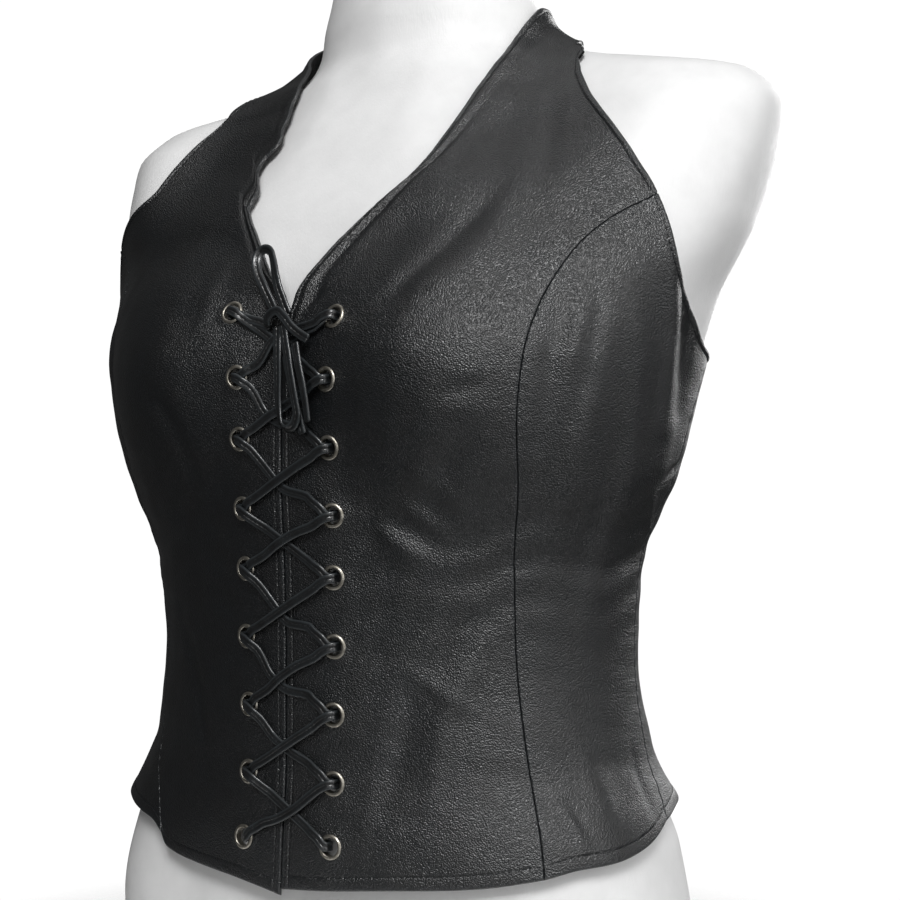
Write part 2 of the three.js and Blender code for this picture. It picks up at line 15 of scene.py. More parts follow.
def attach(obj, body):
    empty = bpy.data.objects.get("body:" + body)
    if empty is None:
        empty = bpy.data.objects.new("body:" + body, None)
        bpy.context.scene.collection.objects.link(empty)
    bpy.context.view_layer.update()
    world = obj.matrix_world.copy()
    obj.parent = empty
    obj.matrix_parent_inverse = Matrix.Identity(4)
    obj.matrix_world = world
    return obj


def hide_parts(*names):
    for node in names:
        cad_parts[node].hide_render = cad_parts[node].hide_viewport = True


bl_info = {
    "name": "Laced Leather Vest",
    "version": (1, 0, 0),
    "blender": (4, 5, 0),
    "location": "3D View > Sidebar > Vest",
    "description": "A laced leather halter vest on a white dress form",
    "category": "Object",
}

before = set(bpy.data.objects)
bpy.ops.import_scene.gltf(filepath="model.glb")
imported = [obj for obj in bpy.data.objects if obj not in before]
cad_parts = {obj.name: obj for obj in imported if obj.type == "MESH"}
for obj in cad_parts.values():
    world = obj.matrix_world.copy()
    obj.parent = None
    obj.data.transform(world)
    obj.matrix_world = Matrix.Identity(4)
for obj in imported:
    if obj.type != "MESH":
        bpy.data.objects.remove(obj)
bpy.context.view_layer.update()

MM = 0.001
WALL = 1.8
SEAM_GAP = 0.03
FRONT_GAP = 1.0
BODY_RADIUS = 140
HALF_CHEST = 112
LACED_REACH = 46
MM_PER_DEGREE = math.pi * BODY_RADIUS / 180

# The torso's smooth envelope.
# height, half_width, front, back, centre_y, front_power, back_power
FIGURE = (
    (0, 172, 104, 122, 0, 2.2, 2.2),
    (60, 184, 106, 126, 0, 2.2, 2.2),
    (120, 177, 104, 113, 0, 2.2, 2.2),
    (175, 154, 100, 90, 0, 2.2, 2.2),
    (230, 148, 100, 75, 0, 2.2, 2.2),
    (280, 151, 102, 75, 0, 2.3, 2.2),
    (335, 173, 105, 88, 0, 2.5, 2.2),
    (390, 188, 105, 102, 0, 2.7, 2.3),
    (430, 198, 104, 108, 5, 2.6, 2.3),
    (475, 216, 98, 104, 20, 2.3, 2.4),
    (515, 226, 84, 94, 29, 2.15, 2.5),
    (540, 229, 74, 84, 33, 2.1, 2.5),
    (558, 213, 66, 75, 36, 1.9, 2.4),
    (571, 160, 62, 68, 37, 1.75, 2.3),
    (580, 118, 60, 63, 38, 1.6, 2.2),
    (588, 97, 58, 59, 39, 1.6, 2.0),
    (598, 84, 57, 56, 39, 1.7, 2.0),
    (609, 77, 56, 54, 38, 1.8, 2.0),
    (640, 64, 52, 52, 36, 2.0, 2.0),
    (700, 60, 50, 54, 32, 2.0, 2.0),
)

# Swells of the envelope's front. The form stands a little fuller at the wearer's right.
# x, height, reach, rise
SWELLS = (
    (92, 388, 88, 19),
    (-92, 388, 88, 19),
    (108, 552, 80, -17),
    (-108, 552, 80, -17),
    (-188, 525, 75, 13),
    (-150, 75, 75, 12),
    (-186, 452, 50, -7),
)

# A hollow of the form alone, so that the laced edges stand clear of it.
HOLLOW_HEIGHT = 408
HOLLOW_REACH = 84
HOLLOW_DEPTH = 9

# How far the vest's inner face stands off the envelope, and how much more at the laced edges.
# height, side, front, back, laced_edge
EASE = (
    (80, 9, 8, 13, 1),
    (120, 8, 7, 11, 1.5),
    (175, 6, 7, 8, 1.5),
    (230, 5, 6.5, 5, 2),
    (280, 5, 5.5, 4, 2.5),
    (335, 4.5, 2.6, 3.5, 5.5),
    (390, 3, 1.4, 3, 6.5),
    (430, 3, 2, 3, 4.5),
    (480, 3.2, 3, 2.5, 0.5),
    (545, 3.4, 3, 2.2, 0),
    (575, 2.9, 2.2, 2.4, 0),
    (612, 2.9, 2.2, 2.4, 0),
    (700, 2, 2, 2, 0),
)

# Long soft folds of the worn leather.
# top_turn, top_height, low_turn, low_height, half_width, rise
FOLDS = (
    (20, 452, 24.5, 250, 2.6, 2.2),
    (13, 430, 17, 240, 3, -1.8),
    (4, 420, 3, 290, 3.2, 2.2),
    (160, 452, 156, 250, 2.6, 2.2),
    (176, 420, 177, 290, 3.2, 2.2),
    (62, 320, 44, 262, 4.5, 1.2),
    (56, 236, 36, 200, 4, 1),
    (121, 470, 116, 380, 4, 1.2),
    (16, 205, 13, 128, 3.4, 2),
    (163, 612, 163, 562, 12, 3.2),
)

# Edges of the pieces, from the bottom up or from the front round. Those of the right are mirrored.
# turn, height
FRONT_EDGE = ((90, 102), (90, 200), (90, 310), (90, 415))
FRONT_EDGE_RIGHT = ((90, 98.5), (90, 200), (90, 310), (90, 415))
NECK_LEFT = (
    (90, 415), (89.2, 419.5), (88.6, 423.7), (87.9, 430.2), (86.2, 436), (82.6, 445.8), (78.1, 458.3),
    (73.2, 469.6), (67.8, 480.2), (63.3, 488.2), (58.8, 496.1), (55.1, 507), (51.7, 520.7),
    (47.8, 535.7), (43.1, 551.9), (36.9, 567.1), (28.3, 580.1), (17.2, 595.3), (8.9, 604.3),
    (1.3, 609.8), (-30, 613), (-60, 613), (-89.7, 611),
)
NECK_RIGHT = (
    (90, 415), (89.1, 426.8), (81.1, 441.1), (72.4, 458.4), (66.6, 470.5), (61.6, 481.1), (59.2, 487.6),
    (59.3, 495.5), (55.6, 505.4), (51.8, 514), (51.2, 520.7), (53.6, 526.5), (54.1, 531.7),
    (50.7, 541.1), (49.3, 547.9), (45.6, 558), (43.9, 566.4), (39, 574.3), (22, 593), (-8, 611),
    (-45, 613), (-89.7, 611),
)
PRINCESS = (
    (26.5, 118.5), (26.3, 160), (27.2, 192), (28.2, 225), (29.3, 267), (30.9, 320.7), (31.4, 361.3),
    (31, 390.7), (29.5, 420.6), (26.3, 446.6), (22, 464.3), (16.3, 478.9),
)
PRINCESS_RIGHT = (
    (42, 116.5), (40.5, 126), (37.9, 139.5), (33.6, 155.3), (31.4, 172), (30.5, 196), (30.6, 223),
    (28.9, 248), (26, 264), (25.2, 300), (26.5, 345), (27.5, 385), (27, 420), (25, 446.6),
    (21.5, 464.3), (16.3, 478.9),
)
ARMHOLE = (
    (16.3, 478.9), (17, 485), (18.2, 495), (19.3, 507.2), (20.5, 519.4), (21.9, 531.9), (22.8, 543.8),
    (22.1, 556.8), (19.7, 567.2), (10.9, 577.7), (5.5, 582.9), (-10, 586.5), (-35, 585), (-60, 580),
    (-89.7, 577),
)
ARMHOLE_RIGHT = (
    (16.3, 478.9), (20, 495), (23, 509.8), (22.8, 526.8), (22.6, 542.8), (20.5, 557.6), (19.1, 563.4),
    (13, 573), (4, 582), (-10, 586.5), (-35, 585), (-60, 580), (-89.7, 577),
)
UNDERARM = ((16.3, 478.9), (13.8, 459.4), (11.1, 444.1), (4.6, 423.6), (-3.7, 404), (-9, 400))
SIDE_SEAM = (
    (0, 137.3), (-3, 157), (-4, 200), (-4, 250), (-3.5, 300), (-4.5, 345), (-7, 380), (-9, 400),
)
HEM_FRONT = ((90, 102), (75, 104.5), (58.5, 108.4), (37, 113.6), (26.5, 118.5))
HEM_FRONT_RIGHT = (
    (90, 98.5), (82, 101.1), (71.3, 103.8), (62, 105.3), (49, 108), (44.5, 110), (42, 116.5),
)
HEM_SIDE = ((26.5, 118.5), (20.7, 122.5), (14.9, 124), (8, 128.5), (0, 137.3))
HEM_SIDE_RIGHT = (
    (42, 116.5), (37.2, 122.2), (32, 123.6), (26.2, 125.5), (17, 128.5), (8, 132.5), (0, 137.3),
)
HEM_BACK = (
    (0, 137.3), (-9, 141.4), (-27, 140), (-55, 134), (-90, 129), (-125, 134), (-153, 140),
    (-171, 141.4), (-180, 137.3),
)
BACK_TOP = ((-9, 400), (-30, 396), (-60, 392), (-90, 390), (-120, 392), (-150, 396), (-171, 400))

# Eyelet centres down the two laced edges.
# left_x, left_height, right_x, right_height
EYELETS = (
    (37.3, 414.9, -38.7, 420.7),
    (36.1, 383.2, -31, 386),
    (34.2, 347.3, -30, 352.5),
    (32.8, 310, -28, 313),
    (31.5, 276, -27.5, 279),
    (31, 238, -28, 240.5),
    (30.5, 200.5, -26, 202),
    (31, 162.5, -26, 163.5),
    (31.5, 128.5, -27, 127),
)

# How a front strand sags between its upper and lower eyelet.
# sag of the strand from the left edge's eyelet, its place along, the same for the right edge's
SAGS = (
    (6.5, 0.75, 0, 0.5),
    (0, 0.5, -8.5, 0.3),
    (0, 0.5, -6, 0.6),
    (2, 0.5, 0, 0.5),
    (0, 0.5, -7, 0.6),
    (2, 0.5, -9, 0.35),
    (0, 0.5, -4, 0.25),
    (-3, 0.5, 0, 0.5),
)

# How high a front strand lies between two eyelets, for the one that crosses over and the one under it.
# place along, lift
OVER_LEVELS = ((0, 3.9), (0.35, 3.5), (0.7, 3.4), (1, 2.6))
UNDER_LEVELS = ((0, 3.0), (0.25, 1.1), (0.65, 1.1), (1, 1.5))

# The lace's start on each side, from under the knot toward the first eyelet, and its rise to there.
# x, height, lift
START_LEFT = ((7, 403.6, 2.6), (13, 405.4, 2.6))
START_RIGHT = ((-8.5, 411.4, 1.5), (-16, 413.8, 1.8))
RISE_LEFT = 0.55
RISE_RIGHT = 0.4

# The bow's pieces over the first eyelets.
# x, height, lift, lean
KNOT = (
    (-8.5, 411.5, 4.8, 0), (-6.2, 415.6, 7.6, 0.2), (0.8, 417.5, 9.4, 0.1), (6.3, 414, 9.4, 0),
    (13.1, 409, 8.6, 0), (20.7, 404.7, 6.6, 0), (26.5, 402.3, 5.6, 0),
)
LOOP_UP = (
    (-1.3, 414.9, 5.6, 0), (-5.8, 422, 6.2, 0), (-11.5, 430.6, 8, 0.1), (-17.1, 437.2, 9.5, 0.3),
    (-19.9, 443, 11, 0.5), (-18.8, 447, 12, 0.7), (-15, 448.4, 12.5, 0.7), (-11, 446.8, 12, 0.6),
    (-8, 442.2, 10.5, 0.4), (-4.6, 436, 9.5, 0.2), (-0.5, 428.4, 8, 0), (3.2, 421.8, 7, 0),
    (6.2, 416.6, 5.8, 0),
)
LOOP_DOWN = (
    (-0.3, 410.4, 5.1, 0), (1.3, 401, 5.6, 0), (2.5, 388.8, 6, 0.1), (2.7, 375.1, 6.2, 0.2),
    (4.1, 365.2, 6.8, 0.5), (6.7, 358.8, 7.4, 0.9), (10.5, 356.7, 7.8, 0.9), (16.5, 358.9, 8.3, 0.4),
    (20.6, 364.5, 8.3, 0.1), (20, 371.5, 8.2, 0), (17.2, 383.1, 8, 0), (13.4, 394.5, 7.8, 0),
    (8, 403.7, 7.4, 0), (4.2, 410.4, 7, 0),
)
END_LONG = (
    (17.5, 401, 6.8, 0), (21.3, 392.5, 7, 0), (25, 382.5, 7.3, 0.1), (27, 371.5, 7.2, 0.2),
    (27.4, 361.5, 7, 0.3),
)
END_SHORT = (
    (9.2, 395.6, 5.6, 0), (13.6, 384, 5.75, 0), (17, 371.5, 5.75, 0), (19.6, 361.5, 5.5, 0),
    (20.8, 354.5, 5.2, 0),
)

# The dress form's closing rings: how far each lies inside the envelope.
# height, inset
FORM_ENDS = (
    (0, 5), (3, 1.2), (9, 0), (440, 0), (465, 0.5), (490, 1), (670, 1), (690, 2), (697, 6), (700, 14),
)

# Creases that the leather took in wear, each a soft trough or ridge along a line.
# half_width, rise, then turn and height of its points
CREASES = (
    (6, -1.7, (55.8, 422), (46.7, 448), (38, 488)),
    (8, 1.2, (49.8, 411), (40.5, 440), (34.3, 476)),
    (5, -1.0, (35.9, 379), (42.6, 374)),
    (7, -2.0, (37.4, 356), (42, 339), (47.2, 320)),
    (5, 1.3, (48.5, 334), (38.4, 313)),
    (4, 1.0, (59.6, 303), (47.9, 289)),
    (4, 1.0, (54, 320), (42.5, 298)),
    (9, -2.0, (41, 248), (50.4, 211), (57.5, 148)),
    (7, 1.5, (34.7, 244), (43.1, 201), (47.1, 157)),
    (4, -1.5, (25.4, 437), (26.3, 413), (27.3, 392), (27.4, 365), (27.9, 346)),
    (4, 1.5, (24, 432), (24.2, 408), (25.1, 381)),
    (3.5, -1.0, (23.1, 447), (21.9, 414), (22.2, 382), (25, 345), (27.9, 309)),
    (4, 2.0, (14.5, 462), (12.6, 446), (10, 425), (8, 409), (7.4, 395), (6.6, 378), (6, 356)),
    (5, -3.6, (9.6, 452), (6.6, 430), (3.6, 408), (2.6, 390), (2, 368)),
    (5, 1.2, (16, 423), (14, 392), (13.6, 361), (11, 330)),
    (2.5, -1.2, (1.6, 330), (-7.1, 342)),
    (3, 0.8, (5.3, 329), (-5.5, 295)),
    (2.5, 0.9, (23.9, 165), (19.7, 148)),
    (2.2, -0.8, (22.8, 162), (18.2, 140)),
    (2.5, 0.9, (21.7, 156), (19.2, 132)),
    (3, -0.9, (2.1, 180), (3, 142)),
    (3, 0.7, (24.5, 547), (28.1, 518)),
    (5, -1.0, (28.5, 532), (31.3, 481)),
    (7, -1.5, (137.6, 385), (130.4, 373), (125.4, 352), (124.3, 330)),
    (4, -1.3, (154, 436), (153, 400), (152, 350)),
    (4, 1.3, (156, 428), (155.5, 385)),
    (3, -1.1, (178, 332), (186, 343)),
    (3, 0.9, (175, 326), (185, 297)),
    (2.5, 0.9, (156, 166), (161, 146)),
    (2.5, -0.8, (157, 160), (162, 136)),
    (6, -1.4, (138, 250), (130, 212), (123, 160)),
    (5, -1.2, (-20, 318), (-48, 300)),
    (5, 1.0, (-25, 298), (-58, 286)),
    (6, -1.1, (-42, 272), (-76, 262)),
    (5, -1.2, (-158, 320), (-134, 304)),
    (5, 1.1, (-154, 300), (-122, 284)),
    (6, -1.0, (-138, 268), (-104, 260)),
    (8, 1.2, (-12, 250), (-30, 178)),
    (8, 1.3, (-167, 246), (-150, 172)),
    (7, -0.9, (-55, 378), (-88, 372), (-122, 379)),
    (3, -0.6, (-18, 603), (-22, 590)),
    (3, 0.6, (-41, 604), (-44, 588)),
    (3, -0.6, (-142, 604), (-138, 588)),
)


def pick(table, column, at):
    """Smooth values of a table's column at its first column's values, without overshoot."""
    rows = np.asarray(table, float)
    x = rows[:, 0]
    y = rows[:, column]
    gap = np.diff(x)
    slope = np.diff(y) / gap
    tangent = np.zeros_like(y)
    tangent[0] = slope[0]
    tangent[-1] = slope[-1]
    level = slope[:-1] * slope[1:] <= 0
    low = np.where(level, 1.0, slope[:-1])
    high = np.where(level, 1.0, slope[1:])
    mean = 3 * (gap[:-1] + gap[1:]) / ((2 * gap[1:] + gap[:-1]) / low + (gap[1:] + 2 * gap[:-1]) / high)
    tangent[1:-1] = np.where(level, 0, mean)
    at = np.clip(at, x[0], x[-1])
    i = np.clip(np.searchsorted(x, at) - 1, 0, len(x) - 2)
    h = gap[i]
    t = (at - x[i]) / h
    start = (1 + 2 * t) * (1 - t) ** 2 * y[i] + t * (1 - t) ** 2 * h * tangent[i]
    return start + t * t * (3 - 2 * t) * y[i + 1] + t * t * (t - 1) * h * tangent[i + 1]


def unit(vectors):
    """The vectors at length 1."""
    return vectors / np.maximum(np.linalg.norm(vectors, axis=-1, keepdims=True), 1e-12)


def envelope(turn, z):
    """Points of the torso's envelope."""
    turn, z = np.broadcast_arrays(np.asarray(turn, float), np.asarray(z, float))
    c = np.cos(np.radians(turn))
    s = np.sin(np.radians(turn))
    front = s > 0
    depth = np.where(front, pick(FIGURE, 2, z), pick(FIGURE, 3, z))
    power = np.where(front, pick(FIGURE, 5, z), pick(FIGURE, 6, z))
    r = (np.abs(c / pick(FIGURE, 1, z)) ** power + np.abs(s / depth) ** power) ** (-1 / power)
    x = r * c
    y = pick(FIGURE, 4, z) - r * s
    for across, height, reach, rise in SWELLS:
        q = np.minimum(1, ((x - across) ** 2 + (z - height) ** 2) / reach**2)
        y = y - np.where(front, rise * (1 - q) ** 2 * np.minimum(1, 3 * s), 0)
    return np.stack([x, y, z], -1)


def facing(surface, turn, z):
    """The outward directions of a surface at a turn and a height."""
    across = surface(turn + 1, z) - surface(turn - 1, z)
    up = surface(turn, z + 1.5) - surface(turn, z - 1.5)
    out = unit(np.cross(across, up))
    inward = out[..., 0] * np.cos(np.radians(turn)) - out[..., 1] * np.sin(np.radians(turn)) < 0
    return np.where(inward[..., None], -out, out)


def ease(turn, z):
    """How far the leather's inner face stands off the envelope."""
    s = np.sin(np.radians(turn))
    across = np.cos(np.radians(turn)) * HALF_CHEST
    e = pick(EASE, 1, z) * (1 - s * s) + np.where(s > 0, pick(EASE, 2, z), pick(EASE, 3, z)) * s * s
    e = e + np.where(s > 0, pick(EASE, 4, z) * np.exp(-((across / LACED_REACH) ** 4)), 0)
    for top_turn, top, low_turn, low, half, rise in FOLDS:
        t = np.clip((z - low) / (top - low), 0, 1)
        q = (turn - low_turn - (top_turn - low_turn) * t) / half
        e = e + rise * np.sin(np.pi * t) ** 2 * np.exp(-q * q)
    return e


def worn(turn, z, off):
    """Points of the leather, off millimetres out from its inner face."""
    off = np.asarray(off, float)
    return envelope(turn, z) + facing(envelope, turn, z) * (ease(turn, z) + off)[..., None]


def outer_face(turn, z):
    """Points of the leather's outer face."""
    return worn(turn, z, WALL)


def over(x, z, height):
    """Points a height above the vest's front, and the outward directions there."""
    x = np.asarray(x, float)
    z = np.asarray(z, float)
    power = pick(FIGURE, 5, z)
    y = pick(FIGURE, 2, z) * (1 - (np.abs(x) / pick(FIGURE, 1, z)) ** power) ** (1 / power)
    turn = np.degrees(np.arctan2(y, x))
    out = facing(outer_face, turn, z)
    return outer_face(turn, z) + out * np.asarray(height, float)[..., None], out


def edge(points, mirror=False):
    """An edge as turn and height at t from 0 to 1, through its points in even steps of length."""
    points = np.array(points, float)
    step = np.hypot(np.diff(points[:, 0]) * MM_PER_DEGREE, np.diff(points[:, 1]))
    run = np.concatenate([[0], np.cumsum(step)])
    if mirror:
        points[:, 0] = 180 - points[:, 0]
    table = np.column_stack([run, points])
    return lambda t: np.stack([pick(table, 1, t * run[-1]), pick(table, 2, t * run[-1])])


def end_to_end(lower, upper):
    """Two edges end to end, the first up to the middle of the run."""
    return lambda t: np.where(t <= 0.5, lower(np.minimum(2 * t, 1)), upper(np.maximum(2 * t - 1, 0)))


def straight(a, b):
    """A straight edge between two places."""
    return lambda t: np.stack([a[0] + (b[0] - a[0]) * t, a[1] + (b[1] - a[1]) * t])


def patch(inner, outer, bottom, top, trim):
    """The turn and height at u, v of a piece between four edges, trimmed at its inner and outer one."""
    zero = np.float64(0)
    one = np.float64(1)
    corners = [side(end)[:, None, None] for end in (zero, one) for side in (inner, outer)]
    toward = np.sign(corners[1][0, 0, 0] - corners[0][0, 0, 0])

    def at(u, v):
        place = (1 - u) * inner(v) + u * outer(v) + (1 - v) * bottom(u) + v * top(u)
        place = place - (1 - v) * ((1 - u) * corners[0] + u * corners[1])
        place = place - v * ((1 - u) * corners[2] + u * corners[3])
        shift = (1 - u) * trim[0] - u * trim[1]
        return place[0] + toward * shift / MM_PER_DEGREE, place[1]

    return at


def front_patch(mirror):
    """Laced edge to princess seam, and up as a strap to the middle of the neck's back."""
    inner = end_to_end(
        edge(FRONT_EDGE_RIGHT if mirror else FRONT_EDGE, mirror),
        edge(NECK_RIGHT if mirror else NECK_LEFT, mirror),
    )
    outer = end_to_end(
        edge(PRINCESS_RIGHT if mirror else PRINCESS, mirror),
        edge(ARMHOLE_RIGHT if mirror else ARMHOLE, mirror),
    )
    bottom = edge(HEM_FRONT_RIGHT if mirror else HEM_FRONT, mirror)
    top = straight(inner(np.float64(1)), outer(np.float64(1)))
    return patch(inner, outer, bottom, top, (FRONT_GAP / 2, SEAM_GAP / 2))


def side_patch(mirror):
    """Princess seam to side seam."""
    return patch(
        edge(PRINCESS_RIGHT if mirror else PRINCESS, mirror),
        edge(SIDE_SEAM, mirror),
        edge(HEM_SIDE_RIGHT if mirror else HEM_SIDE, mirror),
        edge(UNDERARM, mirror),
        (SEAM_GAP / 2, SEAM_GAP / 2),
    )


def back_patch():
    """Side seam to side seam across the back."""
    left = edge(SIDE_SEAM)

    def right(t):
        turn, z = left(t)
        return np.stack([-180 - turn, z])

    return patch(left, right, edge(HEM_BACK), edge(BACK_TOP), (SEAM_GAP / 2, SEAM_GAP / 2))


# Grid lines at these distances from an edge, close together where its turning and stitches are.
EDGE_LINES = (
    0, 0.35, 0.8, 1.4, 2.2, 3.0, 3.4, 3.8, 4.2, 4.6, 5.0, 5.5, 6.0, 6.5, 7.0, 7.4, 7.8, 8.4, 9.4, 10.5,
)
FINE = 241
COLUMN_STEP = 2.3
ROW_STEP = 2.1


def along(points, axis):
    """Length from the first point along an axis of a grid of points."""
    steps = np.linalg.norm(np.diff(points, axis=axis), axis=-1)
    return np.concatenate([np.zeros_like(np.take(steps, [0], axis)), np.cumsum(steps, axis)], axis)


def lined(length, step_count, both):
    """Distances of grid lines over a length, with the edge's lines at its start and, if both, its end."""
    band = np.array(EDGE_LINES)
    room = length * (0.42 if both else 0.8)
    band = band * min(1, room / band[-1])
    stop = length - band[-1] if both else length
    middle = np.linspace(band[-1], stop, step_count + 2)[1:-1]
    tail = length - band[::-1] if both else [length]
    return np.concatenate([band, middle, tail])


def grid_of(at, top_edge):
    """A piece's grid of turns and heights, and each point's distance from its four edges."""
    fine = np.linspace(0, 1, FINE)
    middle = np.full((FINE * 4, 1), 0.5)
    up = np.linspace(0, 1, FINE * 4)
    climb = along(worn(*at(middle, up[:, None]), WALL), 0)[:, 0]
    count = int(climb[-1] / ROW_STEP)
    v = np.interp(lined(climb[-1], count, top_edge), climb, up)
    across = along(worn(*at(fine[None, :], v[:, None]), WALL), 1)
    count = int(np.percentile(across[:, -1], 75) / COLUMN_STEP)
    u = np.array([np.interp(lined(row[-1], count, True), row, fine) for row in across])
    turn, z = at(u, v[:, None] + np.zeros_like(u))
    points = worn(turn, z, WALL)
    from_inner = along(points, 1)
    from_outer = from_inner[:, -1:] - from_inner
    from_hem = along(points, 0)
    from_top = from_hem[-1:] - from_hem
    return turn, z, v, (from_inner, from_outer, from_hem, from_top)


def bump(q):
    """A soft hill over q from -1 to 1."""
    return np.exp(-q * q)


def ramp(q):
    """A soft step from 0 to 1 as q goes from 0 to 1."""
    q = np.clip(q, 0, 1)
    return q * q * (3 - 2 * q)


def crease_depth(turn, z):
    """How far the creases move the leather out at a turn and a height."""
    x = turn * MM_PER_DEGREE
    depth = np.zeros_like(x)
    for half, rise, *points in CREASES:
        line = np.array(points, float) * (MM_PER_DEGREE, 1)
        steps = np.diff(line, axis=0)
        lengths = np.linalg.norm(steps, axis=1)
        near = np.full_like(x, 1e9)
        place = np.zeros_like(x)
        for (ax, az), (dx, dz), length, before in zip(line, steps, lengths, np.cumsum(lengths) - lengths):
            for lap in (0, -360 * MM_PER_DEGREE, 360 * MM_PER_DEGREE):
                t = np.clip(((x + lap - ax) * dx + (z - az) * dz) / length**2, 0, 1)
                off = np.hypot(x + lap - ax - t * dx, z - az - t * dz)
                closer = off < near
                near = np.where(closer, off, near)
                place = np.where(closer, before + t * length, place)
        taper = np.sin(np.pi * np.clip(0.08 + 0.84 * place / lengths.sum(), 0, 1)) ** 0.8
        depth += rise * taper * bump(near / half)
    return depth


def waves(turn, z):
    """Slight unevenness of soft hide, everywhere."""
    x = turn * MM_PER_DEGREE
    low = 0.28 * np.sin(x / 11.3 + z / 23 + 0.8) * np.sin(z / 14.1 - x / 31 + 2.1)
    fine = 0.12 * np.sin(x / 4.7 - z / 7.9) * np.sin(z / 5.3 + x / 9.1 + 1.3)
    waist = 0.35 * bump((z - 290) / 45) * np.sin(z / 3.6 + 1.7 * np.sin(x / 13) + x / 40)
    return low + fine + waist


def rounded(distance, radius):
    """How far an edge that is turned under falls at a distance in from it."""
    q = radius - np.minimum(distance, radius)
    return np.sqrt(np.maximum(radius**2 - q**2, 0)) - radius


def groove(distance, place, half, depth):
    """A line pressed in by stitches at a distance from an edge."""
    return -depth * bump((distance - place) / half)


# Distances of the stitch lines from the edges they hold, and the stitches' pitch.
FRONT_STITCH = 4.6
NECK_STITCH = 4.3
ARMHOLE_STITCH = 3.6
HEM_STITCH = 7.4
STITCH_PITCH = 3.7
STITCH_LENGTH = 2.7
STITCH_WIDTH = 0.55
EYELET_HOLE = 5.75
EYELET_RADIUS = 7

# The leather lies calmer round the laced edge: half the width of that place and its upper end.
CALM_REACH = 37
CALM_TOP = 440

# The least gap over the form, and how deep seams and edges may cut into the wall.
CLEAR_OF_FORM = 0.5
DEEPEST_RELIEF = 1.2


def turned(distance, radius, bead, width):
    """An edge turned under and sewn down: rounded, slightly puffed and pressed in at its stitches."""
    puff = bead * np.sin(np.pi * np.clip(distance / (width * 1.06), 0, 1)) ** 0.7
    return rounded(distance, radius) + puff + groove(distance, width, 0.42, 0.42)


def puckered(run, distance, pitch, reach, depth):
    """Small gathers square to a seam, fading away from it."""
    beat = np.sin(2 * np.pi * run / pitch + 1.4 * np.sin(run / 17))
    return depth * beat * np.exp(-np.maximum(distance, 0) / reach)


def front_relief(v, distances, z):
    """Edges and seams of a front piece."""
    inner, outer, hem, _ = distances
    strap = ramp((v[:, None] - 0.497) / 0.006) + np.zeros_like(inner)
    laced = rounded(inner, 0.9) + 0.12 * ramp((FRONT_STITCH - inner) / 0.6)
    laced = laced + groove(inner, FRONT_STITCH, 0.4, 0.35)
    neck = turned(inner, 1.1, 0.4, NECK_STITCH) + puckered(z, np.abs(inner - NECK_STITCH), 5.1, 3.2, 0.2)
    strip = 1.0 * bump((inner - 9.5) / 3.8) - 1.1 * bump((inner - 17) / 5)
    neck = neck + strip * (0.25 + 0.75 * ramp((545 - z) / 60))
    seam = rounded(outer, 0.9) + puckered(hem, outer, 6.2, 3.8, 0.26)
    armhole = turned(outer, 1.1, 0.5, ARMHOLE_STITCH) * (1 - 0.85 * bump((z - 574) / 15))
    bottom = turned(hem, 1.1, 0.3, HEM_STITCH)
    return (1 - strap) * (laced + seam) + strap * (neck + armhole) + bottom


def side_relief(v, distances, z):
    """Edges and seams of a side piece."""
    inner, outer, hem, top = distances
    seams = rounded(inner, 0.9) + puckered(hem, inner, 6.6, 4.5, 0.26)
    seams = seams + rounded(outer, 1.2) + puckered(z, outer, 8.1, 4, 0.22)
    return seams + turned(hem, 1.1, 0.3, HEM_STITCH) + turned(top, 1.3, 0.7, ARMHOLE_STITCH)


def back_relief(v, distances, z):
    """Edges and seams of the back."""
    inner, outer, hem, top = distances
    seams = rounded(inner, 1.2) + rounded(outer, 1.2)
    seams = seams + puckered(z, inner, 8.1, 4, 0.22) + puckered(z, outer, 7.7, 4, 0.22)
    return seams + turned(hem, 1.1, 0.3, HEM_STITCH) + turned(top, 1.3, 0.7, ARMHOLE_STITCH)


def deselect():
    """Leaves edit mode and selects nothing, because an operator acts on all that is selected."""
    if bpy.context.object and bpy.context.object.mode != "OBJECT":
        bpy.ops.object.mode_set(mode="OBJECT")
    bpy.ops.object.select_all(action="DESELECT")


def places_of(mesh):
    """The mesh's vertices as an array."""
    places = np.empty(len(mesh.vertices) * 3)
    mesh.vertices.foreach_get("co", places)
    return places.reshape(-1, 3)


def move_to(mesh, places):
    """Moves the mesh's vertices, given in millimetres."""
    mesh.vertices.foreach_set("co", (places * MM).ravel())
    mesh.update()


def paint(mesh, name, values):
    """Keeps a value for each vertex, for a material to read."""
    mesh.attributes.new(name, "FLOAT", "POINT").data.foreach_set("value", values.astype(np.float32))


def flat_grid(name, columns, rows):
    """A flat grid of unit size."""
    deselect()
    bpy.ops.mesh.primitive_grid_add(x_subdivisions=columns, y_subdivisions=rows, size=1)
    piece = bpy.context.object
    piece.name = name
    piece.data.name = name
    return piece


def grid_place(mesh, columns, rows):
    """The column, row and side of each vertex of a unit grid."""
    places = places_of(mesh)
    column = np.rint((places[:, 0] + 0.5) * columns).astype(int)
    row = np.rint((places[:, 1] + 0.5) * rows).astype(int)
    return column, row, places[:, 2] < -0.5


def closed_outward(piece, merge=0.0):
    """Merges doubles and turns all faces outward."""
    bpy.ops.object.mode_set(mode="EDIT")
    bpy.ops.mesh.select_all(action="SELECT")
    if merge:
        bpy.ops.mesh.remove_doubles(threshold=merge)
    bpy.ops.mesh.normals_make_consistent(inside=False)
    bpy.ops.object.mode_set(mode="OBJECT")


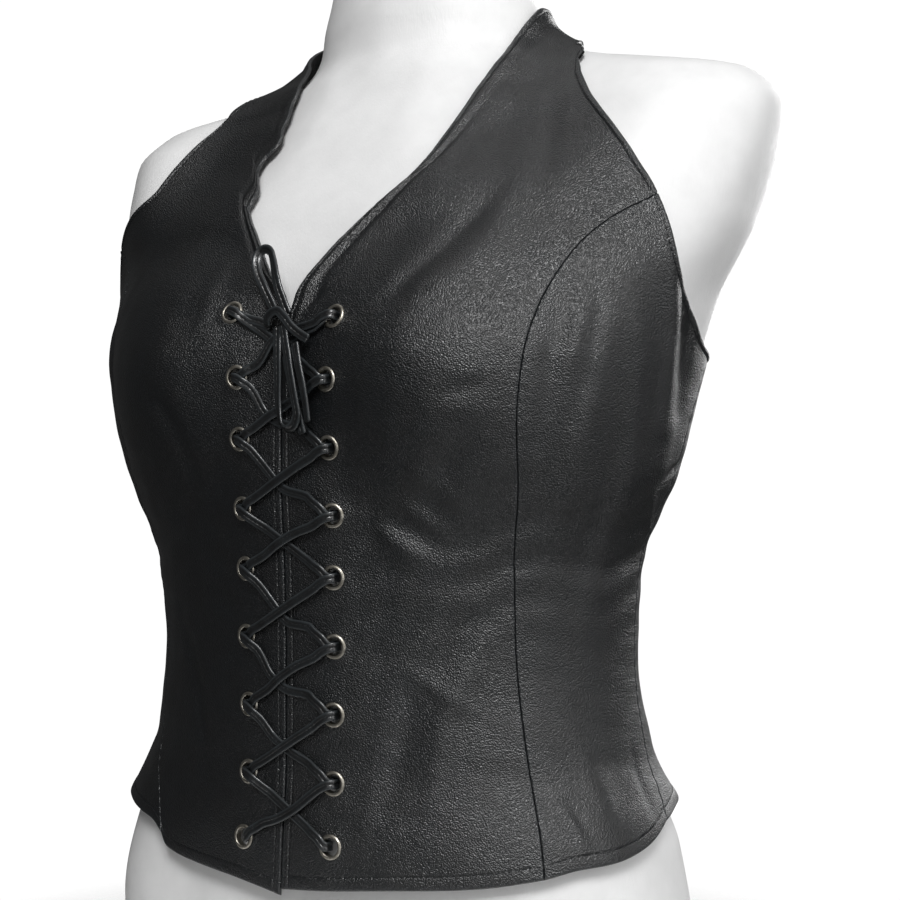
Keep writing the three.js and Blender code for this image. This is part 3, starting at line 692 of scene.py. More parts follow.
def finished(piece, material, node, smooth=50):
    """Smooths a piece, gives it its material and puts it in its node's place."""
    deselect()
    piece.select_set(True)
    bpy.context.view_layer.objects.active = piece
    bpy.ops.object.shade_smooth_by_angle(angle=math.radians(smooth))
    piece.data.materials.clear()
    piece.data.materials.append(material)
    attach(piece, "root")
    if node:
        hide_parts(node)


def punch(outer, inner, centres):
    """Opens round holes in the grid: returns what is cut away and moves the rim onto the circles."""
    gone = np.zeros(outer.shape[:2], bool)
    for centre, out in centres:
        away = outer - centre
        flat = away - (away @ out)[..., None] * out
        radius = np.linalg.norm(flat, axis=-1)
        inside = (radius < EYELET_HOLE) & (np.abs(away @ out) < 12)
        rim = np.zeros_like(inside)
        for dj in (-1, 0, 1):
            for di in (-1, 0, 1):
                rim |= np.roll(inside, (dj, di), (0, 1))
        rim &= ~inside
        shift = (flat / np.maximum(radius, 1e-6)[..., None] * EYELET_HOLE - flat)[rim]
        outer[rim] += shift
        inner[rim] += shift
        gone |= inside
    return gone


def leather_sheet(name, at, relief, eyelets, top_edge):
    """A piece of leather with its creases, edges and eyelet holes. Returns it and its grid."""
    turn, z, v, distances = grid_of(at, top_edge)
    base = worn(turn, z, WALL)
    crease = crease_depth(turn, z)
    uneven = waves(turn, z)
    fine = relief(v, distances, z)
    centres = []
    if eyelets:
        laced = np.exp(-((base[..., 0] / CALM_REACH) ** 4)) * ramp((CALM_TOP - z) / 20)
        calm = 1 - 0.85 * laced
        crease = crease * calm
        uneven = uneven * calm
        for x, height in eyelets:
            centre, out = over(x, height, 0)
            reach = np.linalg.norm(base - centre, axis=-1)
            crease = crease * (1 - bump(reach / 14))
            fine = fine * (1 - bump(reach / 9)) + 0.5 * bump(np.maximum(reach - EYELET_RADIUS, 0) / 2.4)
            centres.append((centre, out))
    crease = np.maximum(crease, CLEAR_OF_FORM - ease(turn, z))
    inner = worn(turn, z, crease)
    outer = worn(turn, z, WALL + crease + uneven + np.maximum(fine, -DEEPEST_RELIEF))
    gone = punch(outer, inner, centres)

    columns = turn.shape[1] - 1
    rows = turn.shape[0] - 1
    piece = flat_grid(name, columns, rows)
    column, row, _ = grid_place(piece.data, columns, rows)
    bpy.ops.object.mode_set(mode="EDIT")
    bpy.ops.mesh.select_all(action="DESELECT")
    bpy.ops.object.mode_set(mode="OBJECT")
    piece.data.vertices.foreach_set("select", gone[row, column])
    bpy.ops.object.mode_set(mode="EDIT")
    bpy.ops.mesh.delete(type="VERT")
    bpy.ops.mesh.select_all(action="SELECT")
    bpy.ops.mesh.extrude_region_move(TRANSFORM_OT_translate={"value": (0, 0, -1)})
    bpy.ops.object.mode_set(mode="OBJECT")
    column, row, behind = grid_place(piece.data, columns, rows)
    move_to(piece.data, np.where(behind[:, None], inner[row, column], outer[row, column]))
    nearest = np.minimum.reduce(distances if top_edge else distances[:3])
    # On the leather the mask marks wear: the hide rubbed lighter just inside each edge.
    paint(piece.data, "rubbed_and_highlight", bump((nearest[row, column] - 0.9) / 1.1) * ~behind)
    closed_outward(piece)
    return piece, (turn, z, outer, distances)


def stitch_path(grid, which, distance, low=None, high=None):
    """Points, outward directions of a line at a distance from an edge: 0 inner, 1 outer, 2 hem, 3 top."""
    turn, z, outer, distances = grid
    far = distances[which]
    if which > 1:
        turn, z, far = turn.T, z.T, far.T
        outer = outer.transpose(1, 0, 2)
    rows = range(*slice(low, high).indices(len(far)))
    order = slice(None, None, -1) if which in (1, 3) else slice(None)
    tables = (turn, z, *outer.transpose(2, 0, 1))
    line = [[np.interp(distance, far[j, order], table[j, order]) for table in tables] for j in rows]
    line = np.array(line)
    return line[:, 2:], facing(outer_face, line[:, 0], line[:, 1])


def stitches(name, paths, material):
    """Rows of stitches along paths, all in one piece, copied from one stitch."""
    deselect()
    bpy.ops.mesh.primitive_uv_sphere_add(segments=6, ring_count=5, radius=0.5)
    piece = bpy.context.object
    piece.name = name
    piece.data.name = name
    bpy.ops.object.mode_set(mode="EDIT")
    bpy.ops.transform.rotate(value=math.pi / 2, orient_axis="Y", center_override=(0, 0, 0))
    bpy.ops.transform.resize(value=(STITCH_LENGTH, STITCH_WIDTH, STITCH_WIDTH))
    bpy.ops.object.mode_set(mode="OBJECT")
    shape = places_of(piece.data)
    faces = [tuple(polygon.vertices) for polygon in piece.data.polygons]
    places = []
    for points, outs in paths:
        run = along(points, 0)
        stops = np.arange(STITCH_PITCH, run[-1] - STITCH_PITCH / 2, STITCH_PITCH)
        centre = np.column_stack([np.interp(stops, run, points[:, k]) for k in range(3)])
        ahead = np.column_stack([np.interp(stops + 1, run, points[:, k]) for k in range(3)])
        out = unit(np.column_stack([np.interp(stops, run, outs[:, k]) for k in range(3)]))
        length = unit(ahead - centre)
        width = np.cross(out, length)
        axes = np.stack([length, width, out], 1)
        places.append((centre + 0.12 * out)[:, None] + shape @ axes)
    places = np.concatenate(places)
    count = len(shape)
    made = [tuple(corner + k * count for corner in face) for k in range(len(places)) for face in faces]
    mesh = bpy.data.meshes.new(name)
    mesh.from_pydata(places.reshape(-1, 3) * MM, [], made)
    old = piece.data
    piece.data = mesh
    bpy.data.meshes.remove(old)
    closed_outward(piece)
    finished(piece, material, None, 80)
    return piece


# Half of a lace's section, seen along it: a flat folded strip with its edges raised and a stitched
# middle. Places across, from edge to edge.
LACE_WIDTH = 5.4
LACE_THICK = 1.7
LACE_ACROSS = (
    -2.7, -2.62, -2.4, -2.05, -1.6, -1.1, -0.7, -0.45, -0.25, 0, 0.25, 0.45, 0.7, 1.1, 1.6, 2.05, 2.4,
    2.62, 2.7,
)
LACE_STEP = 0.74
LACE_STITCH = 3.1


def lace_section(run):
    """Places across and through of a lace's section at each length along it."""
    across = np.array(LACE_ACROSS)
    half = LACE_THICK / 2 * (1 - np.abs(across / (LACE_WIDTH / 2)) ** 3.2) ** (1 / 3.2)
    raised = 0.1 * bump((np.abs(across) - 1.9) / 0.45)
    beat = 0.5 + 0.5 * np.cos(2 * np.pi * run / LACE_STITCH)
    thread = 0.26 * ramp(beat * 2.4 - 0.3)[:, None] * bump(across / 0.34)
    face = half + raised - 0.42 * bump(across / 0.4) + thread
    face = np.maximum(face, 0.02)
    inner = slice(-2, 0, -1)
    through = np.concatenate([face, -face[:, inner]], 1)
    wide = np.concatenate([across, across[inner]])
    return wide, through


def curve_through(rows, run, stops):
    """Values of every column at stops along a run, on a curve through all its rows."""
    i = np.clip(np.searchsorted(run, stops) - 1, 0, len(run) - 2)
    t = ((stops - run[i]) / (run[i + 1] - run[i]))[:, None]
    a = rows[np.maximum(i - 1, 0)]
    b = rows[i]
    c = rows[i + 1]
    d = rows[np.minimum(i + 2, len(rows) - 1)]
    square = 0.5 * (2 * a - 5 * b + 4 * c - d) * t**2
    return b + 0.5 * (c - a) * t + square + 0.5 * (3 * b - a - 3 * c + d) * t**3


def lace_piece(name, rows, through_points, material, node):
    """A flat lace over the vest's front. Its rows are x, height, lift, slant of its width in the vest's
    face and lean of its width out of that face. Returns it and its middle line."""
    rows = np.array(rows, float)
    steps = np.linalg.norm(np.diff(rows[:, :3], axis=0), axis=1)
    run = np.concatenate([[0], np.cumsum(steps)])
    stops = np.linspace(0, run[-1], int(run[-1] / LACE_STEP) + 1)
    if through_points:
        values = curve_through(rows, run, stops)
    else:
        table = np.column_stack([run, rows])
        values = np.column_stack([pick(table, k, stops) for k in range(1, 6)])
    x, z, lift, slant, lean = values.T
    middle, out = over(x, z, lift)
    ahead = np.clip(np.arange(len(stops)) + 2, 0, len(stops) - 1)
    behind = np.clip(np.arange(len(stops)) - 2, 0, len(stops) - 1)
    way = unit(middle[ahead] - middle[behind])
    up = unit(np.array([0, 0, 1.0]) - out * out[:, 2:])
    side = unit(np.cross(up, out))
    wide = up * np.cos(slant)[:, None] + side * np.sin(slant)[:, None]
    wide = wide * np.cos(lean)[:, None] + out * np.sin(lean)[:, None]
    wide = unit(wide - way * np.sum(wide * way, 1)[:, None])
    thick = np.cross(way, wide)
    length = along(middle, 0)
    across, through = lace_section(length)
    ends = 0.72 + 0.28 * ramp(np.minimum(length, length[-1] - length) / 0.5)
    points = middle[:, None] + wide[:, None] * (across * ends[:, None])[..., None]
    points = points + thick[:, None] * (through * ends[:, None])[..., None]
    rings, sides = points.shape[:2]
    index = np.arange(rings * sides).reshape(rings, sides)
    nxt = np.roll(index, -1, 1)
    faces = np.stack([index[:-1], nxt[:-1], nxt[1:], index[1:]], -1).reshape(-1, 4).tolist()
    faces += [index[0].tolist(), index[-1][::-1].tolist()]
    mesh = bpy.data.meshes.new(name)
    mesh.from_pydata(points.reshape(-1, 3) * MM, [], faces)
    # Painted highlight: a mask over the lace's raised edges, where its material turns the colour lighter to
    # stand in for the shine they catch.
    rubbed_and_highlight = np.tile(bump((np.abs(across) - 2.15) / 0.5), rings)
    paint(mesh, "rubbed_and_highlight", rubbed_and_highlight)
    piece = bpy.data.objects.new(name, mesh)
    bpy.context.collection.objects.link(piece)
    deselect()
    piece.select_set(True)
    bpy.context.view_layer.objects.active = piece
    closed_outward(piece)
    finished(piece, material, node, 60)
    return piece, middle * MM


def lying(table):
    """The rows of a piece of the bow, with the slant that lays its width across its own direction."""
    rows = []
    before = None
    for i, (x, z, lift, lean) in enumerate(table):
        a = table[max(0, i - 1)]
        b = table[min(len(table) - 1, i + 1)]
        slant = -math.atan2(b[1] - a[1], b[0] - a[0])
        if before is not None:
            slant += 2 * math.pi * round((before - slant) / (2 * math.pi))
        before = slant
        rows.append((x, z, lift, slant, lean))
    return rows


def slant_to(k, left):
    """The slant that a front strand's width has below eyelet k."""
    here, there = (EYELETS[k][:2], EYELETS[k + 1][2:]) if left else (EYELETS[k][2:], EYELETS[k + 1][:2])
    return math.atan(-(there[1] - here[1]) / (there[0] - here[0]))


def lace_run(start_side, start, rise):
    """One run of the lace, from the knot down across the front to the bar behind the last eyelets.
    Every strand dips into the near half of an eyelet, turns behind, and comes up in the far half."""
    rows = [(x, z, lift, -start_side * math.atan(rise), 0) for x, z, lift in start]
    left = start_side > 0
    for k in range(9):
        x, z = EYELETS[k][:2] if left else EYELETS[k][2:]
        side = math.copysign(1, x)
        arrive = slant_to(k - 1, not left) if k else -side * math.atan(rise)
        drop = math.tan(abs(arrive)) if k else -rise
        rows += [
            (x - 11 * side, z + 11 * drop, 2.5, arrive, 0),
            (x - 6.6 * side, z + 6.6 * drop, 2.95, arrive * 0.8, 0),
            (x - 2.9 * side, z + 0.6 * drop, 2.3, arrive * 0.2, 0),
            (x - 1.5 * side, z, 0, 0, 0),
            (x - 1.35 * side, z, -3.2, 0, 0),
        ]
        if k == 8:
            rows += [
                (x - 2.2 * side, z, -4.5, 0, 0),
                (x - 5 * side, z, -4.9, 0, 0),
                (x - 14 * side, z, -4.5, 0, 0),
                (0.5 * side, 127.5, -4.3, 0, 0),
            ]
            break
        leave = slant_to(k, left)
        fall = math.tan(abs(leave))
        rows += [
            (x - 0.75 * side, z, -4.55, 0, 0),
            (x + 0.75 * side, z, -4.55, 0, 0),
            (x + 1.35 * side, z, -3.2, 0, 0),
            (x + 1.4 * side, z, 0.6, 0, 0),
            (x + 1.15 * side, z, 2.9, 0, 0),
            (x - 0.9 * side, z - 0.6 * fall, 4.35, leave * 0.3, 0),
            (x - 5.2 * side, z - 4.2 * fall, 4.7, leave * 0.8, 0),
        ]
        to_x, to_z = EYELETS[k + 1][2:] if left else EYELETS[k + 1][:2]
        from_x = x - 10 * side
        from_z = z - 10 * fall
        to_x -= 15 * math.copysign(1, to_x)
        to_z += 15 * fall
        sag, place = SAGS[k][:2] if left else SAGS[k][2:]
        for t, lift in OVER_LEVELS if left else UNDER_LEVELS:
            hang = t / place if t < place else (1 - t) / (1 - place)
            drop = sag * math.sin(math.pi / 2 * hang)
            rows.append((from_x + (to_x - from_x) * t, from_z + (to_z - from_z) * t + drop, lift, leave, 0))
        left = not left
    return rows


def linear(code):
    """The linear colour of an sRGB hex value."""
    parts = [int(code[i : i + 2], 16) / 255 for i in (1, 3, 5)]
    return tuple(p / 12.92 if p <= 0.04045 else ((p + 0.055) / 1.055) ** 2.4 for p in parts)


class LeatherSettings(bpy.types.PropertyGroup):
    """The hide and its sewing."""

    colour: bpy.props.FloatVectorProperty(
        name="Colour", description="Dyed hide in its hollows", subtype="COLOR", default=linear("#08090b")
    )
    rubbed_and_highlight: bpy.props.FloatVectorProperty(
        name="Rubbed", description="Hide where it is rubbed", subtype="COLOR", default=linear("#1a1e21")
    )
    grain: bpy.props.FloatProperty(
        name="Grain", description="Width of a pebble of the grain", unit="LENGTH", default=0.85 * MM
    )


class LaceSettings(bpy.types.PropertyGroup):
    """The flat lace."""

    colour: bpy.props.FloatVectorProperty(
        name="Colour", description="Dyed lace", subtype="COLOR", default=linear("#0a0b0c")
    )
    # The edge colour is a painted highlight: laid on the lace's raised edges to stand in for the shine they
    # catch.
    edge: bpy.props.FloatVectorProperty(
        name="Edge", description="Rubbed edges of the lace", subtype="COLOR", default=linear("#3a3f42")
    )


class EyeletSettings(bpy.types.PropertyGroup):
    """The pressed eyelets."""

    colour: bpy.props.FloatVectorProperty(
        name="Colour", description="Nickel plating", subtype="COLOR", default=linear("#d2cdc2")
    )
    tarnish: bpy.props.FloatVectorProperty(
        name="Tarnish", description="Dull plating", subtype="COLOR", default=linear("#8e897e")
    )


class FormSettings(bpy.types.PropertyGroup):
    """The dress form."""

    colour: bpy.props.FloatVectorProperty(
        name="Colour", description="Satin skin of the form", subtype="COLOR", default=linear("#fafafa")
    )
    fibre: bpy.props.FloatProperty(
        name="Fibre", description="Length of the skin's fibres", unit="LENGTH", default=4.5 * MM
    )


class StageSettings(bpy.types.PropertyGroup):
    """The camera and the light."""

    turn: bpy.props.FloatProperty(
        name="Camera turn", description="How far round the camera stands", subtype="ANGLE",
        default=math.radians(34),
    )
    distance: bpy.props.FloatProperty(
        name="Camera distance", description="From the form's axis", unit="LENGTH", default=1.0
    )
    height: bpy.props.FloatProperty(
        name="Camera height", description="Above the floor", unit="LENGTH", default=0.334
    )
    lens: bpy.props.FloatProperty(
        name="Lens", description="Focal length", unit="CAMERA", default=65.52
    )


def fill(tree, node, inputs):
    """Fills a node's inputs with values or other nodes' outputs."""
    for name, value in inputs.items():
        if isinstance(value, bpy.types.NodeSocket):
            tree.links.new(value, node.inputs[name])
        else:
            node.inputs[name].default_value = value


def add(tree, kind, settings=None, inputs=None):
    """Adds a node, sets its settings and fills its inputs."""
    made = tree.nodes.new(kind)
    for name, value in (settings or {}).items():
        setattr(made, name, value)
    fill(tree, made, inputs or {})
    return made


def empty_material(name):
    """A material with nothing but its shader and its output, and the place that its patterns read."""
    material = bpy.data.materials.new(name)
    material.use_nodes = True
    tree = material.node_tree
    tree.nodes.clear()
    shader = add(tree, "ShaderNodeBsdfPrincipled")
    add(tree, "ShaderNodeOutputMaterial", None, {"Surface": shader.outputs["BSDF"]})
    where = add(tree, "ShaderNodeTexCoord").outputs["Object"]
    return material, tree, shader, where


# Patterns repeat so many times a metre: 55 is a patch of 18 mm, and 2600 a pore of 0.4 mm, which is
# drawn a little coarser than the real one so that it shows.
NOISE = "ShaderNodeTexNoise"
BUMP = "ShaderNodeBump"
RANGE = "ShaderNodeMapRange"
MIX = "ShaderNodeMix"
COLOURS = {"data_type": "RGBA"}
SHARE = {"operation": "MULTIPLY_ADD", "use_clamp": True}


def leather_material(settings):
    """Corrected-grain cowhide, drum-dyed and finished with satin lacquer: fine pebbles that break up
    its broad highlights, slightly lighter skin where its edges are rubbed, and soft lighter, smoother
    patches."""
    material, tree, shader, where = empty_material("corrected_grain_leather")
    pebble = add(
        tree,
        "ShaderNodeTexVoronoi",
        {"feature": "SMOOTH_F1"},
        {"Vector": where, "Scale": 1 / settings.grain, "Smoothness": 0.35, "Randomness": 1.0},
    )
    pores = add(tree, NOISE, None, {"Vector": where, "Scale": 2600, "Detail": 3}).outputs["Fac"]
    patches = add(tree, NOISE, None, {"Vector": where, "Scale": 55, "Detail": 3}).outputs["Fac"]
    wrinkles = add(
        tree, NOISE, None, {"Vector": where, "Scale": 340, "Detail": 4, "Roughness": 0.6, "Distortion": 0.6}
    )
    rubbed_and_highlight = add(tree, "ShaderNodeAttribute", {"attribute_name": "rubbed_and_highlight"}).outputs["Fac"]
    cloud = add(tree, RANGE, None, {0: patches, 1: 0.3, 2: 0.75, 3: 0.0, 4: 0.45}).outputs[0]
    lighter = add(tree, "ShaderNodeMath", SHARE, {0: rubbed_and_highlight, 1: 0.5, 2: cloud})
    dye_and_highlight = {0: lighter.outputs[0], 6: (*settings.colour, 1), 7: (*settings.rubbed_and_highlight, 1)}
    soft = add(
        tree, BUMP, None, {"Strength": 0.35, "Distance": 0.4 * MM, "Height": wrinkles.outputs["Fac"]}
    ).outputs["Normal"]
    pebbled = {"Strength": 1.0, "Distance": 0.4 * MM, "Height": pebble.outputs["Distance"], "Normal": soft}
    grain = add(tree, BUMP, {"invert": True}, pebbled).outputs["Normal"]
    skin = add(tree, BUMP, None, {"Strength": 0.5, "Distance": 0.09 * MM, "Height": pores, "Normal": grain})
    looks = {
        "Base Color": add(tree, MIX, COLOURS, dye_and_highlight).outputs[2],
        "Roughness": add(tree, RANGE, None, {0: patches, 1: 0.3, 2: 0.7, 3: 0.4, 4: 0.3}).outputs[0],
        "IOR": 1.5,
        "Specular IOR Level": 0.95,
        "Normal": skin.outputs["Normal"],
    }
    fill(tree, shader, looks)
    return material


def lace_material(settings):
    """Folded leather lace, dyed and waxed: smoother than the vest's hide, lighter in soft patches, with a
    painted highlight along its raised edges.
    """
    material, tree, shader, where = empty_material("waxed_leather_lace")
    # The mask and the edge colour paint a highlight along the lace's raised edges; soft patches lighten it
    # at random as well.
    rubbed_and_highlight = add(tree, "ShaderNodeAttribute", {"attribute_name": "rubbed_and_highlight"}).outputs["Fac"]
    grain = add(tree, NOISE, None, {"Vector": where, "Scale": 1500, "Detail": 4}).outputs["Fac"]
    patches = add(tree, NOISE, None, {"Vector": where, "Scale": 120, "Detail": 3}).outputs["Fac"]
    cloud = add(tree, RANGE, None, {0: patches, 1: 0.35, 2: 0.75, 3: 0.0, 4: 0.3}).outputs[0]
    lighter = add(tree, "ShaderNodeMath", SHARE, {0: rubbed_and_highlight, 1: 0.6, 2: cloud})
    dye_and_highlight = {0: lighter.outputs[0], 6: (*settings.colour, 1), 7: (*settings.edge, 1)}
    rough = add(tree, BUMP, None, {"Strength": 0.5, "Distance": 0.12 * MM, "Height": grain})
    looks = {
        "Base Color": add(tree, MIX, COLOURS, dye_and_highlight).outputs[2],
        "Roughness": add(tree, RANGE, None, {0: patches, 1: 0.3, 2: 0.7, 3: 0.36, 4: 0.26}).outputs[0],
        "IOR": 1.5,
        "Specular IOR Level": 1.0,
        "Normal": rough.outputs["Normal"],
    }
    fill(tree, shader, looks)
    return material


def thread_material(settings):
    """Bonded polyester sewing thread, twisted and waxed: a fine slanting twist with a soft shine."""
    material, tree, shader, where = empty_material("bonded_polyester_thread")
    twist = add(tree, NOISE, None, {"Vector": where, "Scale": 2400, "Detail": 2}).outputs["Fac"]
    dye_and_highlight = {0: twist, 6: (*settings.colour, 1), 7: (*settings.rubbed_and_highlight, 1)}
    rough = add(tree, BUMP, None, {"Strength": 0.6, "Distance": 0.08 * MM, "Height": twist})
    looks = {
        "Base Color": add(tree, MIX, COLOURS, dye_and_highlight).outputs[2],
        "Roughness": 0.45,
        "Normal": rough.outputs["Normal"],
    }
    fill(tree, shader, looks)
    return material


def eyelet_material(settings):
    """Nickel-plated pressed brass, worn: a warm bright metal with dull patches and fine scratches."""
    material, tree, shader, where = empty_material("worn_nickel_plate")
    dull = add(tree, NOISE, None, {"Vector": where, "Scale": 320, "Detail": 4}).outputs["Fac"]
    spread = add(tree, RANGE, None, {0: dull, 1: 0.4, 2: 0.7, 3: 0.0, 4: 1.0}).outputs[0]
    plating = {0: spread, 6: (*settings.colour, 1), 7: (*settings.tarnish, 1)}
    marks = add(tree, NOISE, None, {"Vector": where, "Scale": 2000, "Detail": 3}).outputs["Fac"]
    rough = add(tree, BUMP, None, {"Strength": 0.25, "Distance": 0.05 * MM, "Height": marks})
    looks = {
        "Base Color": add(tree, MIX, COLOURS, plating).outputs[2],
        "Roughness": add(tree, RANGE, None, {0: dull, 1: 0.35, 2: 0.7, 3: 0.3, 4: 0.46}).outputs[0],
        "Metallic": 1.0,
        "Normal": rough.outputs["Normal"],
    }
    fill(tree, shader, looks)
    return material


def form_material(settings):
    """Spun-bonded satin skin over moulded plastic: near white, with short shining fibres that lie
    every way and mottle it slightly."""
    material, tree, shader, where = empty_material("spun_bonded_satin_skin")
    lay = add(
        tree, "ShaderNodeMapping", None, {"Vector": where, "Rotation": (0.3, 0.42, 0.0), "Scale": (4, 4, 1)}
    ).outputs["Vector"]
    fibres = add(
        tree, NOISE, None, {"Vector": lay, "Scale": 1 / settings.fibre, "Detail": 3, "Distortion": 0.8}
    ).outputs["Fac"]
    mottle = add(tree, NOISE, None, {"Vector": where, "Scale": 70, "Detail": 4}).outputs["Fac"]
    cloud = add(tree, RANGE, None, {0: mottle, 1: 0.3, 2: 0.7, 3: 0, 4: 0.5}).outputs[0]
    skin = {0: cloud, 6: (*settings.colour, 1), 7: (*(0.9 * c for c in settings.colour), 1)}
    rough = add(tree, BUMP, None, {"Strength": 0.55, "Distance": 0.3 * MM, "Height": fibres})
    looks = {
        "Base Color": add(tree, MIX, COLOURS, skin).outputs[2],
        "Roughness": add(tree, RANGE, None, {0: fibres, 1: 0.3, 2: 0.7, 3: 0.36, 4: 0.6}).outputs[0],
        "Normal": rough.outputs["Normal"],
    }
    fill(tree, shader, looks)
    return material


def floor_material():
    """Matt painted board, pale and even, that fades into the white room round the form."""
    material, tree, shader, where = empty_material("matt_painted_board")
    away = add(tree, "ShaderNodeVectorMath", {"operation": "LENGTH"}, {0: where}).outputs["Value"]
    grain = add(tree, NOISE, None, {"Vector": where, "Scale": 400, "Detail": 2}).outputs["Fac"]
    paint_mix = {0: grain, 6: (*linear("#f4f4f3"), 1), 7: (*linear("#efefee"), 1)}
    looks = {
        "Base Color": add(tree, MIX, COLOURS, paint_mix).outputs[2],
        "Alpha": add(tree, RANGE, None, {0: away, 1: 0.2, 2: 0.42, 3: 1, 4: 0}).outputs[0],
        "Roughness": 0.9,
    }
    fill(tree, shader, looks)
    return material


MADE = {}


def material_for(kind):
    """The material of a kind, made once from the scene's settings."""
    scene = bpy.context.scene
    makers = {
        "leather": lambda: leather_material(scene.vest_leather),
        "lace": lambda: lace_material(scene.vest_lace),
        "thread": lambda: thread_material(scene.vest_leather),
        "eyelet": lambda: eyelet_material(scene.vest_eyelet),
        "form": lambda: form_material(scene.vest_form),
        "floor": floor_material,
    }
    if kind not in MADE:
        MADE[kind] = makers[kind]()
    return MADE[kind]


# Soft lights: name, place, what it looks at, width and height, watts.
LIGHTS = (
    ("window", (1.75, -0.15, 0.75), (0, 0, 0.35), (1.3, 1.9), 11),
    ("key", (0.9, -1.5, 1.75), (0, 0, 0.35), (0.9, 0.7), 33),
    ("front", (0.35, -2.3, 0.7), (0, 0, 0.3), (0.9, 1.5), 3),
    ("top", (-0.3, 0.3, 2.0), (0, 0, 0.45), (1.6, 1.2), 3),
    ("low", (1.35, -1.7, 0.15), (0, 0, 0.3), (0.9, 0.7), 2.5),
    ("back", (0.2, 2.1, 1.0), (0, 0, 0.35), (1.4, 1.2), 26),
)

# The room's white as the camera sees it, and the weak light that it gives.
SEEN_WHITE = 1.05
LIT_WHITE = 0.055

SENSOR_WIDTH = 36
CAMERA_SHIFT = (0.0589, 0.0222)
CAMERA_CLIP = 0.01
FLOOR_SIZE = 12


def aimed_light(name, place, target, size, power):
    """A rectangular soft light that looks at a target."""
    light = bpy.data.lights.new(name, "AREA")
    light.shape = "RECTANGLE"
    light.size, light.size_y = size
    light.energy = power
    lamp = bpy.data.objects.new(name, light)
    bpy.context.collection.objects.link(lamp)
    lamp.location = place
    lamp.rotation_euler = (Vector(target) - Vector(place)).to_track_quat("-Z", "Y").to_euler()


class VEST_OT_stage(bpy.types.Operator):
    """Sets up the camera, the light and the floor"""

    bl_idname = "vest.stage"
    bl_label = "Stage"

    def execute(self, context):
        settings = context.scene.vest_stage
        camera = bpy.data.objects.new("camera", bpy.data.cameras.new("camera"))
        context.collection.objects.link(camera)
        camera.location = (
            settings.distance * math.sin(settings.turn),
            -settings.distance * math.cos(settings.turn),
            settings.height,
        )
        camera.rotation_euler = (math.pi / 2, 0, settings.turn)
        camera.data.lens = settings.lens
        camera.data.sensor_width = SENSOR_WIDTH
        camera.data.shift_x, camera.data.shift_y = CAMERA_SHIFT
        camera.data.clip_start = CAMERA_CLIP
        context.scene.camera = camera

        deselect()
        bpy.ops.mesh.primitive_plane_add(size=FLOOR_SIZE)
        floor = context.object
        floor.name = "floor"
        floor.data.materials.append(material_for("floor"))

        world = bpy.data.worlds.new("studio")
        context.scene.world = world
        world.use_nodes = True
        tree = world.node_tree
        tree.nodes.clear()
        white = (1, 1, 1, 1)
        seen = add(tree, "ShaderNodeBackground", None, {"Color": white, "Strength": SEEN_WHITE})
        lit = add(tree, "ShaderNodeBackground", None, {"Color": white, "Strength": LIT_WHITE})
        camera_ray = add(tree, "ShaderNodeLightPath").outputs["Is Camera Ray"]
        mix = add(
            tree, "ShaderNodeMixShader", None, {0: camera_ray, 1: lit.outputs[0], 2: seen.outputs[0]}
        )
        add(tree, "ShaderNodeOutputWorld", None, {"Surface": mix.outputs[0]})
        context.scene.view_settings.view_transform = "Standard"
        for light in LIGHTS:
            aimed_light(*light)
        return {"FINISHED"}


# The bow's pieces as cords: name, rows, node, far end.
BOW = (
    ("bow_knot_wrap", KNOT, "bow_knot", "object"),
    ("bow_upper_loop", LOOP_UP, "bow_loop_up", "object"),
    ("bow_lower_loop", LOOP_DOWN, "bow_loop_down", "object"),
    ("bow_long_tail", END_LONG, "bow_end_long", "bare"),
    ("bow_short_tail", END_SHORT, "bow_end_short", "bare"),
)


class VEST_OT_bow(bpy.types.Operator):
    """Ties the bow: its knot, two loops and two ends"""

    bl_idname = "vest.bow"
    bl_label = "Bow"

    def execute(self, context):
        for name, table, node, far_end in BOW:
            piece, middle = lace_piece(name, lying(table), True, material_for("lace"), node)
            length = float(along(middle, 0)[-1])
        return {"FINISHED"}


class VEST_OT_laces(bpy.types.Operator):
    """Laces the front through the eyelets"""

    bl_idname = "vest.laces"
    bl_label = "Laces"

    def execute(self, context):
        material = material_for("lace")
        lace_piece("lace_from_left", lace_run(1, START_LEFT, RISE_LEFT), False, material, "lace_a")
        lace_piece("lace_from_right", lace_run(-1, START_RIGHT, RISE_RIGHT), False, material, "lace_b")
        return {"FINISHED"}


class VEST_OT_form(bpy.types.Operator):
    """Makes the dress form that the vest is worn on"""

    bl_idname = "vest.form"
    bl_label = "Dress Form"

    def execute(self, context):
        heights = np.unique(
            np.concatenate([np.linspace(0, 12, 13), np.linspace(12, 688, 190), np.linspace(688, 700, 17)])
        )
        inset = pick(FORM_ENDS, 1, heights)
        heights = np.concatenate([np.zeros(6), heights, np.full(6, 700.0)])
        inset = np.concatenate([np.full(6, inset[0]), inset, np.full(6, inset[-1])])
        size = np.concatenate([np.linspace(0, 0.9, 6), np.ones(len(heights) - 12), np.linspace(0.9, 0, 6)])
        turn = np.linspace(0, 360, 161)[None, :]
        z = heights[:, None] + np.zeros_like(turn)
        signed = (turn + 180) % 360 - 180
        points = envelope(signed, z)
        axis = np.stack([np.zeros_like(z), pick(FIGURE, 4, z), z], -1)
        q = np.minimum(1, (points[..., 0] ** 2 + (z - HOLLOW_HEIGHT) ** 2) / HOLLOW_REACH**2)
        points[..., 1] += np.where(points[..., 1] < axis[..., 1], HOLLOW_DEPTH * (1 - q) ** 2, 0)
        ray = points - axis
        scale = (1 - inset[:, None] / np.linalg.norm(ray, axis=-1)) * size[:, None]
        points = axis + ray * scale[..., None]
        rows, columns = z.shape[0] - 1, z.shape[1] - 1
        piece = flat_grid("satin_dress_form", columns, rows)
        column, row, _ = grid_place(piece.data, columns, rows)
        move_to(piece.data, points[row, column])
        closed_outward(piece, 1e-6)
        finished(piece, material_for("form"), "dress_form")
        return {"FINISHED"}


